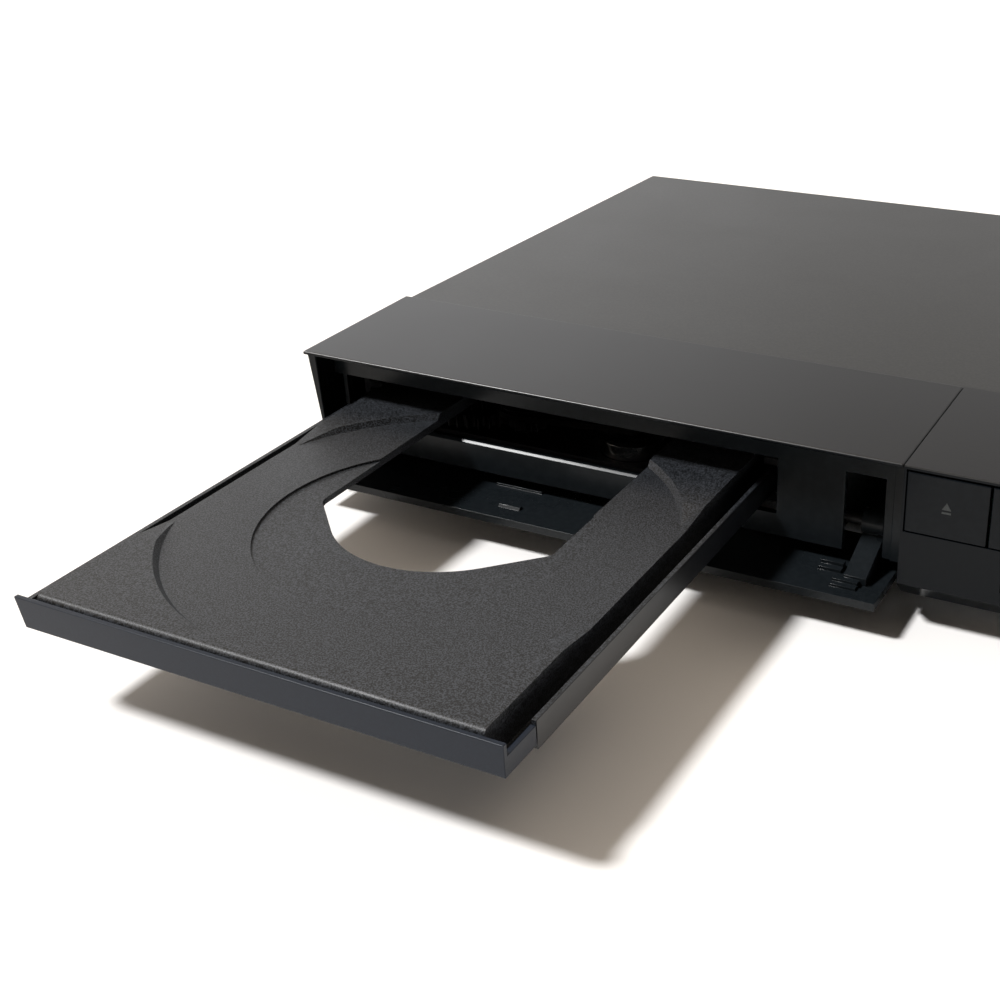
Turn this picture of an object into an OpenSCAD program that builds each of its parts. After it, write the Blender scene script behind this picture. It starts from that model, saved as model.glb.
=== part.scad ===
// Compact optical disc player, with its tray out and its front door dropped.
// Millimetres. X runs to the right, Y to the back and Z up from the floor.
// The origin lies on the floor, under the middle of the player and its open tray.

/* [Body] */
// Width over the front bezel
body_w = 255; // [252:1:290]
// Depth from the button face to the cover's back edge
body_d = 205; // [202:1:230]
// Height from the floor to the top of the bezel
body_h = 43; // [43:0.5:46]
// Height of the feet under the base pan
foot_h = 5.5; // [5:0.25:6]
// Diameter of each foot
foot_d = 16; // [12:0.5:20]
// Depth of the smooth bezel strip on top
bezel_d = 50; // [44:1:54]
// Thickness of the bezel's roof
roof_t = 1.8; // [1.5:0.1:2]
// Thickness of the roof's overhanging rim
roof_edge = 1; // [0.8:0.1:1.2]
// How far the roof stands out over the side walls
roof_over = 1.5; // [1.2:0.1:1.8]
// How far the side walls lean in below the roof
side_lean = 2.4; // [1.5:0.1:2.6]
// Thickness of the bezel's side walls under the roof
side_t = 2.9; // [2.4:0.1:3.2]
// Thickness of the bezel's side walls at their foot
foot_t = 1.2; // [1:0.1:1.4]
// How far the steel cover lies below the bezel strip
cover_drop = 0.5; // [0.3:0.1:0.8]
// How far the cover stands in from the bezel at each side
cover_in = 1.4; // [1:0.1:1.6]
// How far the cover's top edge moves in towards the back
facet_in = 6; // [3:0.5:7]
// Thickness of the front panel, the tiles and the frame
wall = 2.2; // [1.8:0.1:2.5]
// Thickness of the sheet steel
sheet = 1; // [0.8:0.1:1.2]
// Gap between moulded pieces that meet
seam = 0.3; // [0.2:0.05:0.4]
// Corner bevel along the front panel's lower edge
panel_bevel = 5; // [3:0.5:6]

/* [Disc bay] */
// Width of the bay from the left side to the button panel
bay_w = 173; // [172:0.5:180]
// How far the inner frame stands behind the front face
frame_in = 6.5; // [6:0.1:7.5]
// Height of the tray opening above the tray's deck
disc_gap = 5; // [4.5:0.1:5.2]
// Width of the slot for the door's right arm
arm_slot_w = 10.2; // [9:0.2:11]
// Width of the slot for the door's left arm
left_slot_w = 2.8; // [2.6:0.1:3]
// Width of the door's right arm
arm_w = 5.6; // [4.6:0.2:5.8]
// Play at each side of the door's left arm
arm_play = 0.5; // [0.4:0.05:0.6]

/* [Door] */
// Thickness of the door
door_t = 2.2; // [1.8:0.1:2.4]
// Height of the door's lower edge when it is shut
door_low = 9.6; // [9:0.2:11]
// How far the door's pivot lies behind the front face
pivot_in = 12.2; // [12:0.1:12.6]
// Height of the door's pivot above the floor
pivot_z = 20; // [19.6:0.1:20.2]
// Diameter of the door's pivot pins
pin_d = 3; // [2.5:0.1:3.4]
// Gap between the door's right end and the button panel
door_gap = 2.1; // [1.5:0.1:2.5]

/* [Tray] */
// How far the tray's lip stands out from the front face
tray_out = 115; // [105:0.5:116]
// How far the deck lies below the top of the bezel
deck_drop = 13; // [12.8:0.1:13.2]
// Half of the deck's width
deck_half = 57.2; // [56.5:0.1:58]
// How far the rails and the lip stand out past the deck
rail_step = 5.1; // [4.5:0.1:5.4]
// Distance from the disc's centre to the lip's front face
lip_reach = 66; // [65.5:0.25:68]
// Distance from the disc's centre to the tray's rear end
tray_rear = 95; // [92:0.5:97]
// Radius of the 12 cm recess at its floor
disc_r = 60.3; // [60.2:0.1:61]
// Depth of the 12 cm recess
disc_depth = 1.5; // [1.2:0.1:1.7]
// How far the recess's wall slopes out
disc_slope = 1.2; // [0.8:0.1:1.5]
// Radius of the 8 cm recess
small_r = 40; // [39.5:0.1:41]
// Further depth of the 8 cm recess
small_depth = 0.6; // [0.4:0.1:0.8]
// Thickness of the tray's floor
tray_t = 1.5; // [1.2:0.1:1.6]
// Radius of the cut-out's round front end
cut_r = 29.6; // [28:0.2:30.5]
// Half of the cut-out's width between the arms
cut_half = 32.4; // [32:0.2:34]
// Radius of the cut-out's corners
cut_round = 4; // [2:0.5:6]
// Distance from the disc's centre to the head of each edge ramp
ramp_out = 34.5; // [32:0.5:36]
// Distance from the disc's centre to the foot of each edge ramp
ramp_in = 23.5; // [22:0.5:26]

/* [Drive] */
// Module of the gear teeth
gear_m = 1; // [0.9:0.05:1]
// Teeth on the pinion that drives the rack
pinion_n = 16; // [16:1:17]
// Teeth on the wheel under that pinion
wheel_n = 26; // [26:1:27]
// Teeth on the pulley's pinion
pulley_n = 11; // [11:1:12]
// Radius of the pulley's belt groove
pulley_r = 8.6; // [7.5:0.1:8.8]
// Radius of the motor's pulley
motor_pulley_r = 2.6; // [2.2:0.1:3]
// Play between teeth, on each flank
tooth_play = 0.25; // [0.2:0.01:0.3]
// Gap between the dropped spindle motor and the base pan
drop_clear = 0.5; // [0.4:0.1:2]
// Radius of the disc's seat on the turntable
seat_r = 11.5; // [10:0.25:12]
// Travel of the pickup from its inner to its outer track
sled_travel = 34; // [30:0.5:34]

/* [Controls] */
// Width of each button tile
tile_w = 19.3; // [17:0.1:20]
// Height of each button tile
tile_h = 15.4; // [14:0.1:16]
// Gap between the tiles' top edge and the roof
tile_top_gap = 0.6; // [0.4:0.1:0.8]
// Travel of each button
press = 0.6; // [0.4:0.1:0.7]
// Outer radius of the coaxial jack's barrel
coax_r = 4.15; // [4:0.05:4.3]
// How far that barrel stands out from the back panel
coax_len = 8; // [7:0.25:9]

/* [Hidden] */
$fn = 64;
eps = 0.2;
slack = 0.15;
half_w = body_w / 2;
panel_in = 1.5;
panel_y = body_d - panel_in - sheet;
rear_reach = panel_y + sheet + coax_len;
front_y = (tray_out - rear_reach) / 2;
pan_top = foot_h + sheet;
panel_foot = foot_h + sheet;
roof_z = body_h - roof_t;
rim_low = body_h - roof_edge;
cover_top = body_h - cover_drop;
cover_half = half_w - cover_in;
cover_play = 0.6;
pan_half = cover_half - side_lean - sheet - cover_play;
wall_top = half_w - roof_over;
wall_foot = wall_top - side_lean;
bay_left = -wall_foot + foot_t;
seam_x = -half_w + bay_w;
panel_x = seam_x + seam;

// Levels and places of the tray
rib_t = 1.3;
rail_play = 1.2;
rail_half = deck_half + rail_step;
disc_x = bay_left + left_slot_w + rib_t + rail_play + rail_half;
disc_y = lip_reach - tray_out;
deck_z = body_h - deck_drop;
lean_z = deck_z - 9;
disc_floor = deck_z - disc_depth;
small_floor = disc_floor - small_depth;
under_z = small_floor - tray_t;
rail_low = deck_z - 9.5;
rail_high = deck_z - 2.8;
gutter_floor = rail_low + 1.5;
web_t = 2;
lip_t = 1.2;
lip_tall = 8.2;
lip_drop = 0.7;
lip_gap = 0.4;
lip_slant = 1.6;
lip_return = 11.5;
return_t = 1.2;
return_drop = 3.6;
gutter_half = rail_half - return_t - seam;
tab_half = 5;
tab_pitch = 36;
deck_front = lip_reach - lip_t - lip_gap;
deck_round = 1.6;
ramp_w = 7;
cut_x = 1.5;
cut_cy = 10.5;
park_gap = 1.3;
travel = tray_out + frame_in - lip_t - park_gap;

// The inner frame and its openings
frame_back = frame_in + wall;
frame_low = pivot_z - 6.5;
sill_z = deck_z - 8;
opening_top = deck_z + disc_gap;
opening_left = rail_half + rail_play;
opening_right = opening_left + 3.35;
rail_room = 0.8;
sill_cut_y = 0.8;
sill_cut_z = 0.7;
rib_x = bay_left + left_slot_w;
arm_slot_x = seam_x - 15.9;
arm_slot_end = arm_slot_x + arm_slot_w;
strip_w = 3.8;
strip_t = 0.5;
ear_r = 4;

// The door, turned down about its pivot
tile_top = rim_low - tile_top_gap;
door_free = pivot_in + pivot_z - tile_top;
door_rear = pivot_in + pivot_z - door_low;
door_under = pivot_z - pivot_in;
door_face = door_under + door_t;
door_left = bay_left + arm_play;
door_right = seam_x - door_gap;
arm_side = 0.8;
arm_x = arm_slot_end - arm_side - arm_w;
left_arm_x = bay_left + arm_play;
left_arm_w = left_slot_w - 2 * arm_play;
boss_r = pin_d / 2 + 1.8;
arm_toe = -2.4;
toe_h = 2;
arm_head = boss_r - 0.8;
foot_plate_w = 6.5;
foot_plate_x = arm_x - 2.5;
foot_plate_y = -5.6;
step_h = 0.7;
step_y = -4;
stop_x = arm_x - 7.9;
stop_w = 6;
stop_y = 1;
stop_d = 3.6;
stop_h = 1.8;
latch_w = 6.6;
latch_x = disc_x - 9;
latch_y = door_free + 5.1;
latch_d = 2;
latch_h = 0.7;
latch_slope = 0.8;
rib_l = 14.5;
rib_y = pivot_in - 5;
door_rib_t = 0.6;
swing_clear = 1;
swing_r = norm([pivot_in, pivot_z - door_low]) + swing_clear;
bay_back = pivot_in + swing_r - 2 * swing_clear;

// The spring round the right pin
spring_wire = 0.4;
spring_play = 0.3;
spring_turns = 5;
spring_len = 5.6;
spring_x1 = arm_slot_x - spring_wire - 2 * spring_play;
spring_x0 = spring_x1 - spring_len;
spring_r = pin_d / 2 + spring_wire + spring_play;
spring_steps = 16 * spring_turns;
spring_sides = 6;

// The loader that carries the tray, round the disc's parked place
park_y = disc_y + travel;
wall_in = rail_half + rail_play;
wall_t = 2;
wall_out = wall_in + wall_t;
loader_rise = 3.5;
loader_z = pan_top + loader_rise;
floor_t = 2;
floor_top = loader_z + floor_t;
floor_front = bay_back + sheet + 2 * seam;
loader_front = pivot_in + ear_r + seam;
loader_low = pivot_z - 2;
spindle_y = park_y;
ring_front = spindle_y - 19;
floor_back = ring_front - 1;
guide_low = rail_low - seam;
guide_t = 2;
guide_w = 3;
guide_len = 22;
guide_mid = 26;
guide_rear = 40;
bridge_z = deck_z + 5.5;
loader_back = park_y + tray_rear + 12;
loader_bar = 10;
loader_bar_h = 5;
loader_foot_r = 3.5;
loader_foot_in = 5.5;
puck_r = 14;
puck_hole_r = 11;
puck_play = 0.5;
puck_rim = 1.2;
bridge_t = 2;
bridge_half = 16;

// Gears: the rack's pitch line, then each wheel's centre
pitch = PI * gear_m;
addendum = 0.8 * gear_m;
dedendum = 1.2 * gear_m;
rack_root = -(deck_half - web_t) + 3;
rack_low = sill_z + 0.5;
pinion_r = pinion_n * gear_m / 2;
wheel_r = wheel_n * gear_m / 2;
small_wheel_r = pulley_n * gear_m / 2;
gear_x = rack_root + dedendum + pinion_r;
gear_y = floor_front + wheel_r + addendum + seam;
train_angle = -8;
pulley_x = gear_x + (wheel_r + small_wheel_r) * cos(train_angle);
pulley_y = gear_y + (wheel_r + small_wheel_r) * sin(train_angle);
wheel_low = floor_top + 0.8;
wheel_t = 3.8;
wheel_gap = 0.8;
belt_low = wheel_low + wheel_t + 1;
belt_w = 2.4;
belt_t = 0.8;
flange_t = 0.6;
belt_span = 34;
motor_x = pulley_x + belt_span;
motor_y = pulley_y;
motor_r = 9.5;
shaft_r = 1;
motor_top = belt_low - 1.2;
post_r = 2;
post_foot = 1.8;
small_post_r = 1.7;

// The traverse, drawn level and then dropped about its rear hinge
hinge_back = 80;
hinge_y = spindle_y + hinge_back;
hinge_z = deck_z - 10.5;
ring_half = 30;
ring_back = hinge_y - 2;
ring_low = hinge_z - 2;
ring_t = 4;
ring_wall = 5;
ring_end = 4;
bush_t = 1.5;
bush_r = 2.2;
bush_front = 8;
bush_back = 6;
plate_z = ring_low + ring_t + bush_t;
plate_top = plate_z + sheet;
barrel_r = 3;
barrel_in = ring_half - 8;
barrel_out = ring_half;
hinge_ear_t = 2.6;
hinge_ear_r = 4;
hinge_ear_d = 6;
seat_z = deck_z + 1;
seat_t = 1.5;
cone_r = 7.4;
cone_tip = 5.6;
cone_h = 1.1;
spindle_r = 11.5;
spindle_h = 8;
spindle_neck = 3.8;
spindle_shaft = 1.2;
rod_r = 1.5;
rod_drop = 3.2;
rod_z = plate_z - rod_drop;
rod_x = [-16, 13];
rod_front = spindle_y + 12.5;
holder_t = 3;
holder_half = 3;
window_left = 21;
window_right = 23;
lens_y = spindle_y + 23.5;
lens_r = 3;
lens_t = 1.2;
lens_dome = 0.6;
lens_in = 1.4;
sled_front = 8;
sled_back = 11;
sled_left = 19.5;
sled_right = 16.4;
sled_end = 2;
rod_back = lens_y + sled_travel + sled_back + holder_t + sled_end;
head_left = 10;
head_right = 9;
head_h = 2.4;
finger_t = 2;
finger_l = 6;
screw_x = 19.6;
screw_r = 1.6;
thread_h = 0.1;
thread_w = 0.8;
lead = 4;
feed_r = 3.2;
feed_l = 14;
feed_foot = 2.6;

// How far the traverse turns down: until the spindle motor's front edge is just above the pan
drop_back = hinge_y - spindle_y + spindle_r;
drop_down = hinge_z - plate_z + spindle_h;
drop_angle = atan2(drop_down, drop_back);
lift = asin((hinge_z - pan_top - drop_clear) / norm([drop_back, drop_down])) - drop_angle;

// The front board, the tiles and their switches
tile_x = panel_x + 0.9;
tile_low = tile_top - tile_h;
power_x = tile_x + tile_w + 2 * seam;
tiles_end = power_x + tile_w + seam;
inner_t = 2;
board_t = 1.6;
fboard_y = wall + 7.8;
fboard_left = panel_x + 3;
fboard_right = pan_half - 2;
fboard_low = foot_h + 4.5;
fboard_top = roof_z - 2;
boss_front = 2.2;
boss_in = 4.5;
switch_half = 3;
switch_t = 3.8;
plunger_r = 1.7;
plunger_out = 0.8;
plunger_y = fboard_y - switch_t - plunger_out;
stem_r = 2;
stem_end = plunger_y - press - 0.1;
window_room = wall_foot - foot_t - tiles_end;
window_x = tiles_end + 0.2 * window_room;
window_w = 0.32 * window_room;
window_h = 3;
window_z = tile_low + tile_h / 2;
led_r = 1.2;
led_h = 3.5;
usb_x = power_x + 11;
usb_z = (tile_low + panel_foot + panel_bevel) / 2;
usb_w = 14;
usb_h = 7;
usb_d = 15;
usb_rim = 0.5;
tongue_in = 1.2;
tongue_up = 0.8;
tongue_front = 2;

// The main board and what stands on it
board_rise = 5.5;
board_z = pan_top + board_rise;
board_top = board_z + board_t;
board_left = disc_x + wall_out + 7.3;
board_right = pan_half - 4;
board_w = board_right - board_left;
board_front = bezel_d + 16;
board_back = body_d - 13;
board_d = board_back - board_front;
post_in = 5;
standoff_r = 3;
vent_n = 9;
vent_pitch = board_w / (vent_n + 4);
vent_w = 3 / 8 * vent_pitch;
sink_side = 42;
sink_base = 2.5;
sink_h = 14;
fin_n = 9;
fin_t = 1.2;
ribbon_t = 0.4;
ribbon_w = 12;
ribbon_x = fboard_left + 2;
ribbon_rise = 7;
ribbon_end = 8;

// The back panel's sockets, spread along the main board
socket_back = body_d - 0.4;
lan_x = board_left + 0.24 * board_w;
hdmi_x = board_left + 0.5 * board_w;
coax_x = board_left + 0.74 * board_w;
dc_x = board_left + 0.92 * board_w;
lan_half = 8;
lan_h = 13.5;
lan_d = 16;
lan_hole = 5.9;
lan_hole_low = 3;
lan_hole_top = 11;
lan_hole_d = 11;
hdmi_half = 7.5;
hdmi_h = 6;
hdmi_d = 12;
hdmi_rim = 0.5;
hdmi_hole_d = 9;
hdmi_slant = 2;
jack_ring = 1.2;
socket_z = board_top + 6.75;
coax_half = 5;
coax_d = 9;
coax_hole = 1.7;
dc_half = 4.5;
dc_d = 11;
dc_r = 4;
dc_hole = 2.8;
dc_hole_d = 9;
dc_pin_r = 0.9;
slot_n = 12;
slot_pitch = pan_half / 18;
slot_w = 3 / 7 * slot_pitch;
slot_low = socket_z - 4.35;
slot_top = cover_top - 10.5;

// Fixings and feet
screw_d = 2.8;
screw_len = 3.4;
screw_head = 1.2;
head_r = 2.8;
head_top = 2.4;
cover_screw_front = 22;
cover_screw_back = 26;
cover_screw_up = 5;
rear_head_r = 2.6;
rear_screw_down = 9;
rear_screw_in = [12.6, 6.6];
flange_h = 9;
foot_in = 18;
foot_front = 16;
foot_rear = 24;
foot_edge = 1.5;

// Places children from the front face's middle, on the floor, into the part's frame
module placed() { translate([0, front_y, 0]) children(); }

// Places children from the disc's centre in the open tray
module in_tray() { placed() translate([disc_x, disc_y, 0]) children(); }

// Places children from the loader's centre line
module in_loader() { placed() translate([disc_x, 0, 0]) children(); }

// Drops what the traverse carries about the hinge at its rear
module dropped() {
    in_loader() translate([0, hinge_y, hinge_z]) rotate([lift, 0, 0])
        translate([0, -hinge_y, -hinge_z]) children();
}

// A box between two corners
module block(low, high) { translate(low) cube(high - low); }

// Children, and their mirror image across X
module both_sides() {
    children();
    mirror([1, 0, 0]) children();
}

// A cylinder that lies along X
module bar_x(r, x0, x1) { translate([x0, 0, 0]) rotate([0, 90, 0]) cylinder(r = r, h = x1 - x0); }

// A cylinder that lies along Y
module bar_y(r, y0, y1) { translate([0, y0, 0]) rotate([-90, 0, 0]) cylinder(r = r, h = y1 - y0); }

// An outline in Y and Z, carried along X
module along_x(x0, x1) { translate([x0, 0, 0]) rotate([90, 0, 90]) linear_extrude(x1 - x0) children(); }

// An outline in X and Z, carried along Y
module along_y(y0, y1) { translate([0, y1, 0]) rotate([90, 0, 0]) linear_extrude(y1 - y0) children(); }

// Points on an arc round c, from angle a0 to a1
arc_steps = 20;
function arc_points(c, r, a0, a1) =
    [for (i = [0 : arc_steps]) let (a = a0 + (a1 - a0) * i / arc_steps) c + r * [cos(a), sin(a)]];

// A gear's outline with straight flanks, one tooth on the X axis
module gear_outline(n) {
    r = n * gear_m / 2;
    half = pitch / 4 - tooth_play;
    slope = tan(20);
    polygon([for (i = [0 : n - 1]) each [
        for (p = [[-1, -dedendum], [-1, addendum], [1, addendum], [1, -dedendum]])
            let (w = half - p[1] * slope, a = 360 * i / n + p[0] * w / (r + p[1]) * 180 / PI)
            (r + p[1]) * [cos(a), sin(a)]]]);
}

// The belt's path round its two wheels, grown by g: an arc round each, joined by their tangents
belt_reach = motor_x - pulley_x;
belt_angle = acos((pulley_r - motor_pulley_r) / belt_reach);
function belt_points(g) = concat(
    arc_points([0, 0], pulley_r + g, belt_angle, 360 - belt_angle),
    arc_points([belt_reach, 0], motor_pulley_r + g, -belt_angle, belt_angle));

// The slanted plane at the cover's left edge, as a block above it, moved in by g
module facet(g) {
    run = body_d - bezel_d;
    yaw = atan(facet_in / run);
    translate([-cover_half, bezel_d, cover_top]) rotate([0, 0, -yaw]) rotate([0, -45, 0])
        translate([-body_h, -bezel_d, -g]) cube([2 * body_h, run + 2 * bezel_d, body_h]);
}

// Half of the cover's section, moved in by g: the side leans in as the bezel's does
function cover_side(g) = [[cover_half - side_lean - g, pan_top - sheet / 2 - g],
    [cover_half - side_lean - g, lean_z], [cover_half - g, cover_top - g]];

// The cover's form, moved in by g on every side but the front, the back and the foot
module cover_form(g) {
    side = cover_side(g);
    difference() {
        along_y(bezel_d + seam - g, body_d + g)
            polygon(concat(side, [for (i = [2 : -1 : 0]) [-side[i][0], side[i][1]]]));
        both_sides() facet(g);
    }
}

module top_cover() {
    color("#3a3a3a") placed() difference() {
        cover_form(0);
        cover_form(sheet);
        at_cover_screws() bar_x(screw_d / 2 + slack, -eps, screw_len);
    }
}

// The section of the bezel's left side wall, which leans in below the roof's rim
module side_section() {
    polygon([[-wall_top, rim_low + eps], [-wall_foot, lean_z], [-wall_foot, panel_foot],
        [-wall_foot + foot_t, panel_foot], [-wall_foot + foot_t, lean_z],
            [-wall_top + side_t, rim_low + eps]]);
}

module bay_shell() {
    color("#2c2d2f") placed() {
        block([-half_w, 0, rim_low], [seam_x, bezel_d, body_h]);
        block([-wall_top + side_t / 2, frame_in, roof_z], [seam_x, bezel_d, rim_low + eps]);
        along_y(0, bezel_d) side_section();
    }
}

// The openings in the button panel's front wall
module panel_openings() {
    block([tile_x - seam, -eps, tile_low - seam], [tiles_end, wall + eps, rim_low]);
    block([window_x - seam / 2, -eps, window_z - window_h / 2 - seam / 2],
        [window_x + window_w + seam / 2, wall + eps, window_z + window_h / 2 + seam / 2]);
    block([usb_x - usb_w / 2 - seam, -eps, usb_z - usb_h / 2 - seam],
        [usb_x + usb_w / 2 + seam, wall + eps, usb_z + usb_h / 2 + seam]);
}

// What lies under the front panel's bevel, and beside its leaning right end
module panel_waste() {
    reach = panel_bevel + 1;
    along_x(panel_x - 1, half_w + 1)
        polygon([[-1, panel_foot + reach], [reach, panel_foot - 1], [-1, panel_foot - 1]]);
}
module beside_panel() {
    inside = foot_t / 2;
    along_y(-1, wall + panel_bevel + 1) polygon([[wall_top - inside, body_h], [wall_top - inside, rim_low],
        [wall_foot - inside, lean_z], [wall_foot - inside, 0], [half_w + 1, 0], [half_w + 1, body_h]]);
}

// Where the front board's bosses stand
board_bosses = [[panel_x + boss_in, fboard_low + 2.5], [tiles_end + boss_front + seam, tile_top - boss_in],
    [wall_foot - boss_in, tile_top - boss_in], [wall_foot - boss_in, fboard_low + 3.5]];

module control_shell() {
    color("#2c2d2f") placed() {
        block([panel_x, 0, rim_low], [half_w, bezel_d, body_h]);
        block([panel_x, frame_in, roof_z], [wall_top - side_t / 2, bezel_d, rim_low + eps]);
        difference() {
            union() {
                mirror([1, 0, 0]) along_y(0, bezel_d) side_section();
                block([panel_x, wall + press + seam, panel_foot],
                    [panel_x + inner_t, bezel_d, rim_low + eps]);
            }
            panel_waste();
        }
        difference() {
            along_x(panel_x, half_w) polygon([[0, rim_low + eps], [0, panel_foot + panel_bevel],
                [panel_bevel, panel_foot], [panel_bevel + wall, panel_foot],
                [wall, panel_foot + panel_bevel + wall / 2], [wall, rim_low + eps]]);
            panel_openings();
            beside_panel();
        }
        for (p = board_bosses) translate([p[0], 0, p[1]]) bar_y(boss_front, wall - eps, fboard_y);
    }
}

module base_pan() {
    vent_front = board_front + 0.27 * board_d;
    color("#6d7072") placed() {
        difference() {
            union() {
                block([-pan_half, bay_back, foot_h], [panel_x + eps, panel_y, pan_top]);
                block([panel_x, panel_bevel + wall + seam, foot_h], [pan_half, panel_y, pan_top]);
            }
            // Cooling slots under the main board
            for (i = [0 : vent_n - 1])
                translate([board_left + (i + 2.5) * vent_pitch, vent_front, foot_h - eps])
                cube([vent_w, 0.4 * board_d, sheet + 2 * eps]);
        }
        block([-pan_half, bay_back, pan_top - eps], [seam_x, bay_back + sheet, loader_z + sheet]);
        difference() {
            both_sides() block([pan_half - sheet, bezel_d + 2, pan_top - eps],
                [pan_half, panel_y, pan_top + flange_h]);
            at_cover_screws() bar_x(screw_d / 2 + slack, -eps, screw_len);
        }
        for (x = [board_left + post_in, board_right - post_in],
            y = [board_front + post_in, board_back - post_in])
            translate([x, y, pan_top - eps]) cylinder(r = standoff_r, h = board_rise + eps);
    }
}

// The back panel's outline, which follows the cover's leaning sides and slanted edges
module rear_outline() {
    top = cover_top - sheet - seam;
    reach = cover_half - facet_in + sheet * sqrt(2) - sheet - 2 * seam;
    lean = side_lean / (cover_top - lean_z);
    corner = (reach + top - pan_half + lean * lean_z) / (1 + lean);
    side = [[pan_half, pan_top], [pan_half, lean_z], [reach + top - corner, corner], [reach, top]];
    polygon(concat(side, [for (i = [3 : -1 : 0]) [-side[i][0], side[i][1]]]));
}

module rear_panel() {
    color("#55585a") placed() difference() {
        along_y(panel_y, panel_y + sheet) rear_outline();
        translate([0, panel_y - eps, 0]) {
            block([lan_x - lan_half - seam, 0, board_top - seam],
                [lan_x + lan_half + seam, 2 * sheet, board_top + lan_h + seam]);
            block([hdmi_x - hdmi_half - seam, 0, board_top - seam],
                [hdmi_x + hdmi_half + seam, 2 * sheet, board_top + hdmi_h + seam]);
            for (x = [coax_x, dc_x]) translate([x, 0, socket_z]) bar_y(coax_r + jack_ring, 0, 2 * sheet);
            // Cooling slots
            for (i = [0 : slot_n - 1]) translate([-0.8 * pan_half + i * slot_pitch, 0, slot_low])
                cube([slot_w, 2 * sheet, slot_top - slot_low]);
        }
    }
}

module feet() {
    color("#1b1b1c") placed()
        for (x = [-1, 1], y = [bay_back + foot_front, body_d - foot_rear])
            translate([x * (pan_half - foot_in), y, 0]) {
                cylinder(d1 = foot_d - foot_edge, d2 = foot_d, h = foot_edge);
                translate([0, 0, foot_edge]) cylinder(d = foot_d, h = foot_h - foot_edge);
            }
}

// Children at each screw through the cover's side walls, from the wall's outer face
module at_cover_screws() {
    both_sides() for (y = [bezel_d + cover_screw_front, body_d - cover_screw_back])
        translate([side_lean - cover_half, y, pan_top + cover_screw_up]) children();
}

module cover_screws() {
    color("#202122") placed() at_cover_screws() {
        rotate([0, 90, 0]) translate([0, 0, -screw_head])
            cylinder(r1 = head_top, r2 = head_r, h = screw_head);
        bar_x(screw_d / 2, -eps, screw_len);
    }
}

module rear_screws() {
    color("#202122") placed() translate([0, 0, cover_top - rear_screw_down])
        for (x = [rear_screw_in[0] - pan_half, 0, pan_half - rear_screw_in[1]])
            translate([x, 0, 0]) bar_y(rear_head_r, panel_y + sheet, panel_y + sheet + screw_head);
}

module front_frame() {
    rail_in = deck_half - web_t - 1;
    color("#1d1e20") placed() difference() {
        union() {
            block([bay_left, frame_in, frame_low], [panel_x, frame_back, roof_z]);
            // The raised strip beside the button panel
            block([panel_x - strip_w, frame_in - strip_t, frame_low], [panel_x, frame_in + eps, roof_z]);
            // The ears that hold the door's pins
            block([arm_slot_end, frame_back - eps, pivot_z - ear_r],
                [panel_x, pivot_in + ear_r, pivot_z + ear_r]);
            block([rib_x, frame_back - eps, pivot_z - ear_r],
                [rib_x + rib_t, pivot_in + ear_r, pivot_z + ear_r]);
        }
        translate([disc_x, 0, 0]) {
            block([-opening_left, 0, sill_z], [opening_right, frame_back + eps, opening_top]);
            block([-opening_left, 0, rail_low - rail_room], [-rail_in, frame_back + eps, sill_z + eps]);
            block([rail_in, 0, rail_low - rail_room], [opening_right, frame_back + eps, sill_z + eps]);
            // The sill's cut front edge
            along_x(-rail_in - eps, rail_in + eps) polygon([[frame_in - sill_cut_y, sill_z - 2 * sill_cut_z],
                [frame_in + 2 * sill_cut_y, sill_z + sill_cut_z],
                [frame_in - sill_cut_y, sill_z + sill_cut_z]]);
        }
        block([arm_slot_x, 0, frame_low - eps], [arm_slot_end, pivot_in - boss_r, opening_top]);
        block([bay_left - eps, 0, frame_low - eps], [rib_x, frame_back + eps, opening_top]);
        translate([0, pivot_in, pivot_z]) bar_x(pin_d / 2, bay_left, panel_x + eps);
    }
}

// One of the door's arms, from its boss on the pivot down to the dropped plate
module door_arm(x, w) {
    difference() {
        union() {
            translate([0, pivot_in, pivot_z]) bar_x(boss_r, x, x + w);
            along_x(x, x + w) polygon([[arm_toe, door_face + toe_h],
                [pivot_in - arm_head / 2, pivot_z - arm_head],
                [pivot_in + boss_r, pivot_z], [pivot_in + boss_r, door_face - eps],
                    [arm_toe, door_face - eps]]);
        }
        translate([0, pivot_in, pivot_z]) bar_x(pin_d / 2 + slack, x - eps, x + w + eps);
    }
}

module disc_door() {
    color("#232426") placed() {
        block([door_left, door_free, door_under], [door_right, door_rear, door_face]);
        // The catch and a rib on the inner face
        along_x(latch_x, latch_x + latch_w) polygon([[latch_y, door_face - eps],
            [latch_y + latch_slope, door_face + latch_h], [latch_y + latch_d, door_face + latch_h],
            [latch_y + latch_d, door_face - eps]]);
        block([latch_x - rib_l / 2, rib_y, door_face - eps],
            [latch_x + rib_l / 2, rib_y + door_rib_t, door_face + door_rib_t]);
        // The right arm's stepped foot, and the stop beside it
        block([foot_plate_x, foot_plate_y, door_face - eps],
            [foot_plate_x + foot_plate_w, arm_toe + eps, door_face + step_h]);
        block([foot_plate_x, step_y, door_face - eps],
            [foot_plate_x + foot_plate_w, arm_toe + eps, door_face + 2 * step_h]);
        block([stop_x, stop_y, door_face - eps],
            [stop_x + stop_w, stop_y + stop_d, door_face + stop_h / 2]);
        block([stop_x, stop_y + stop_d / 2, door_face - eps],
            [stop_x + stop_w, stop_y + stop_d, door_face + stop_h]);
        door_arm(arm_x, arm_w);
        door_arm(left_arm_x, left_arm_w);
    }
}

module door_pins() {
    color("#2b2c2e") placed() translate([0, pivot_in, pivot_z]) {
        bar_x(pin_d / 2, spring_x0 - spring_wire - spring_play, panel_x);
        bar_x(pin_d / 2, left_arm_x - slack, rib_x + rib_t);
    }
}

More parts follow.
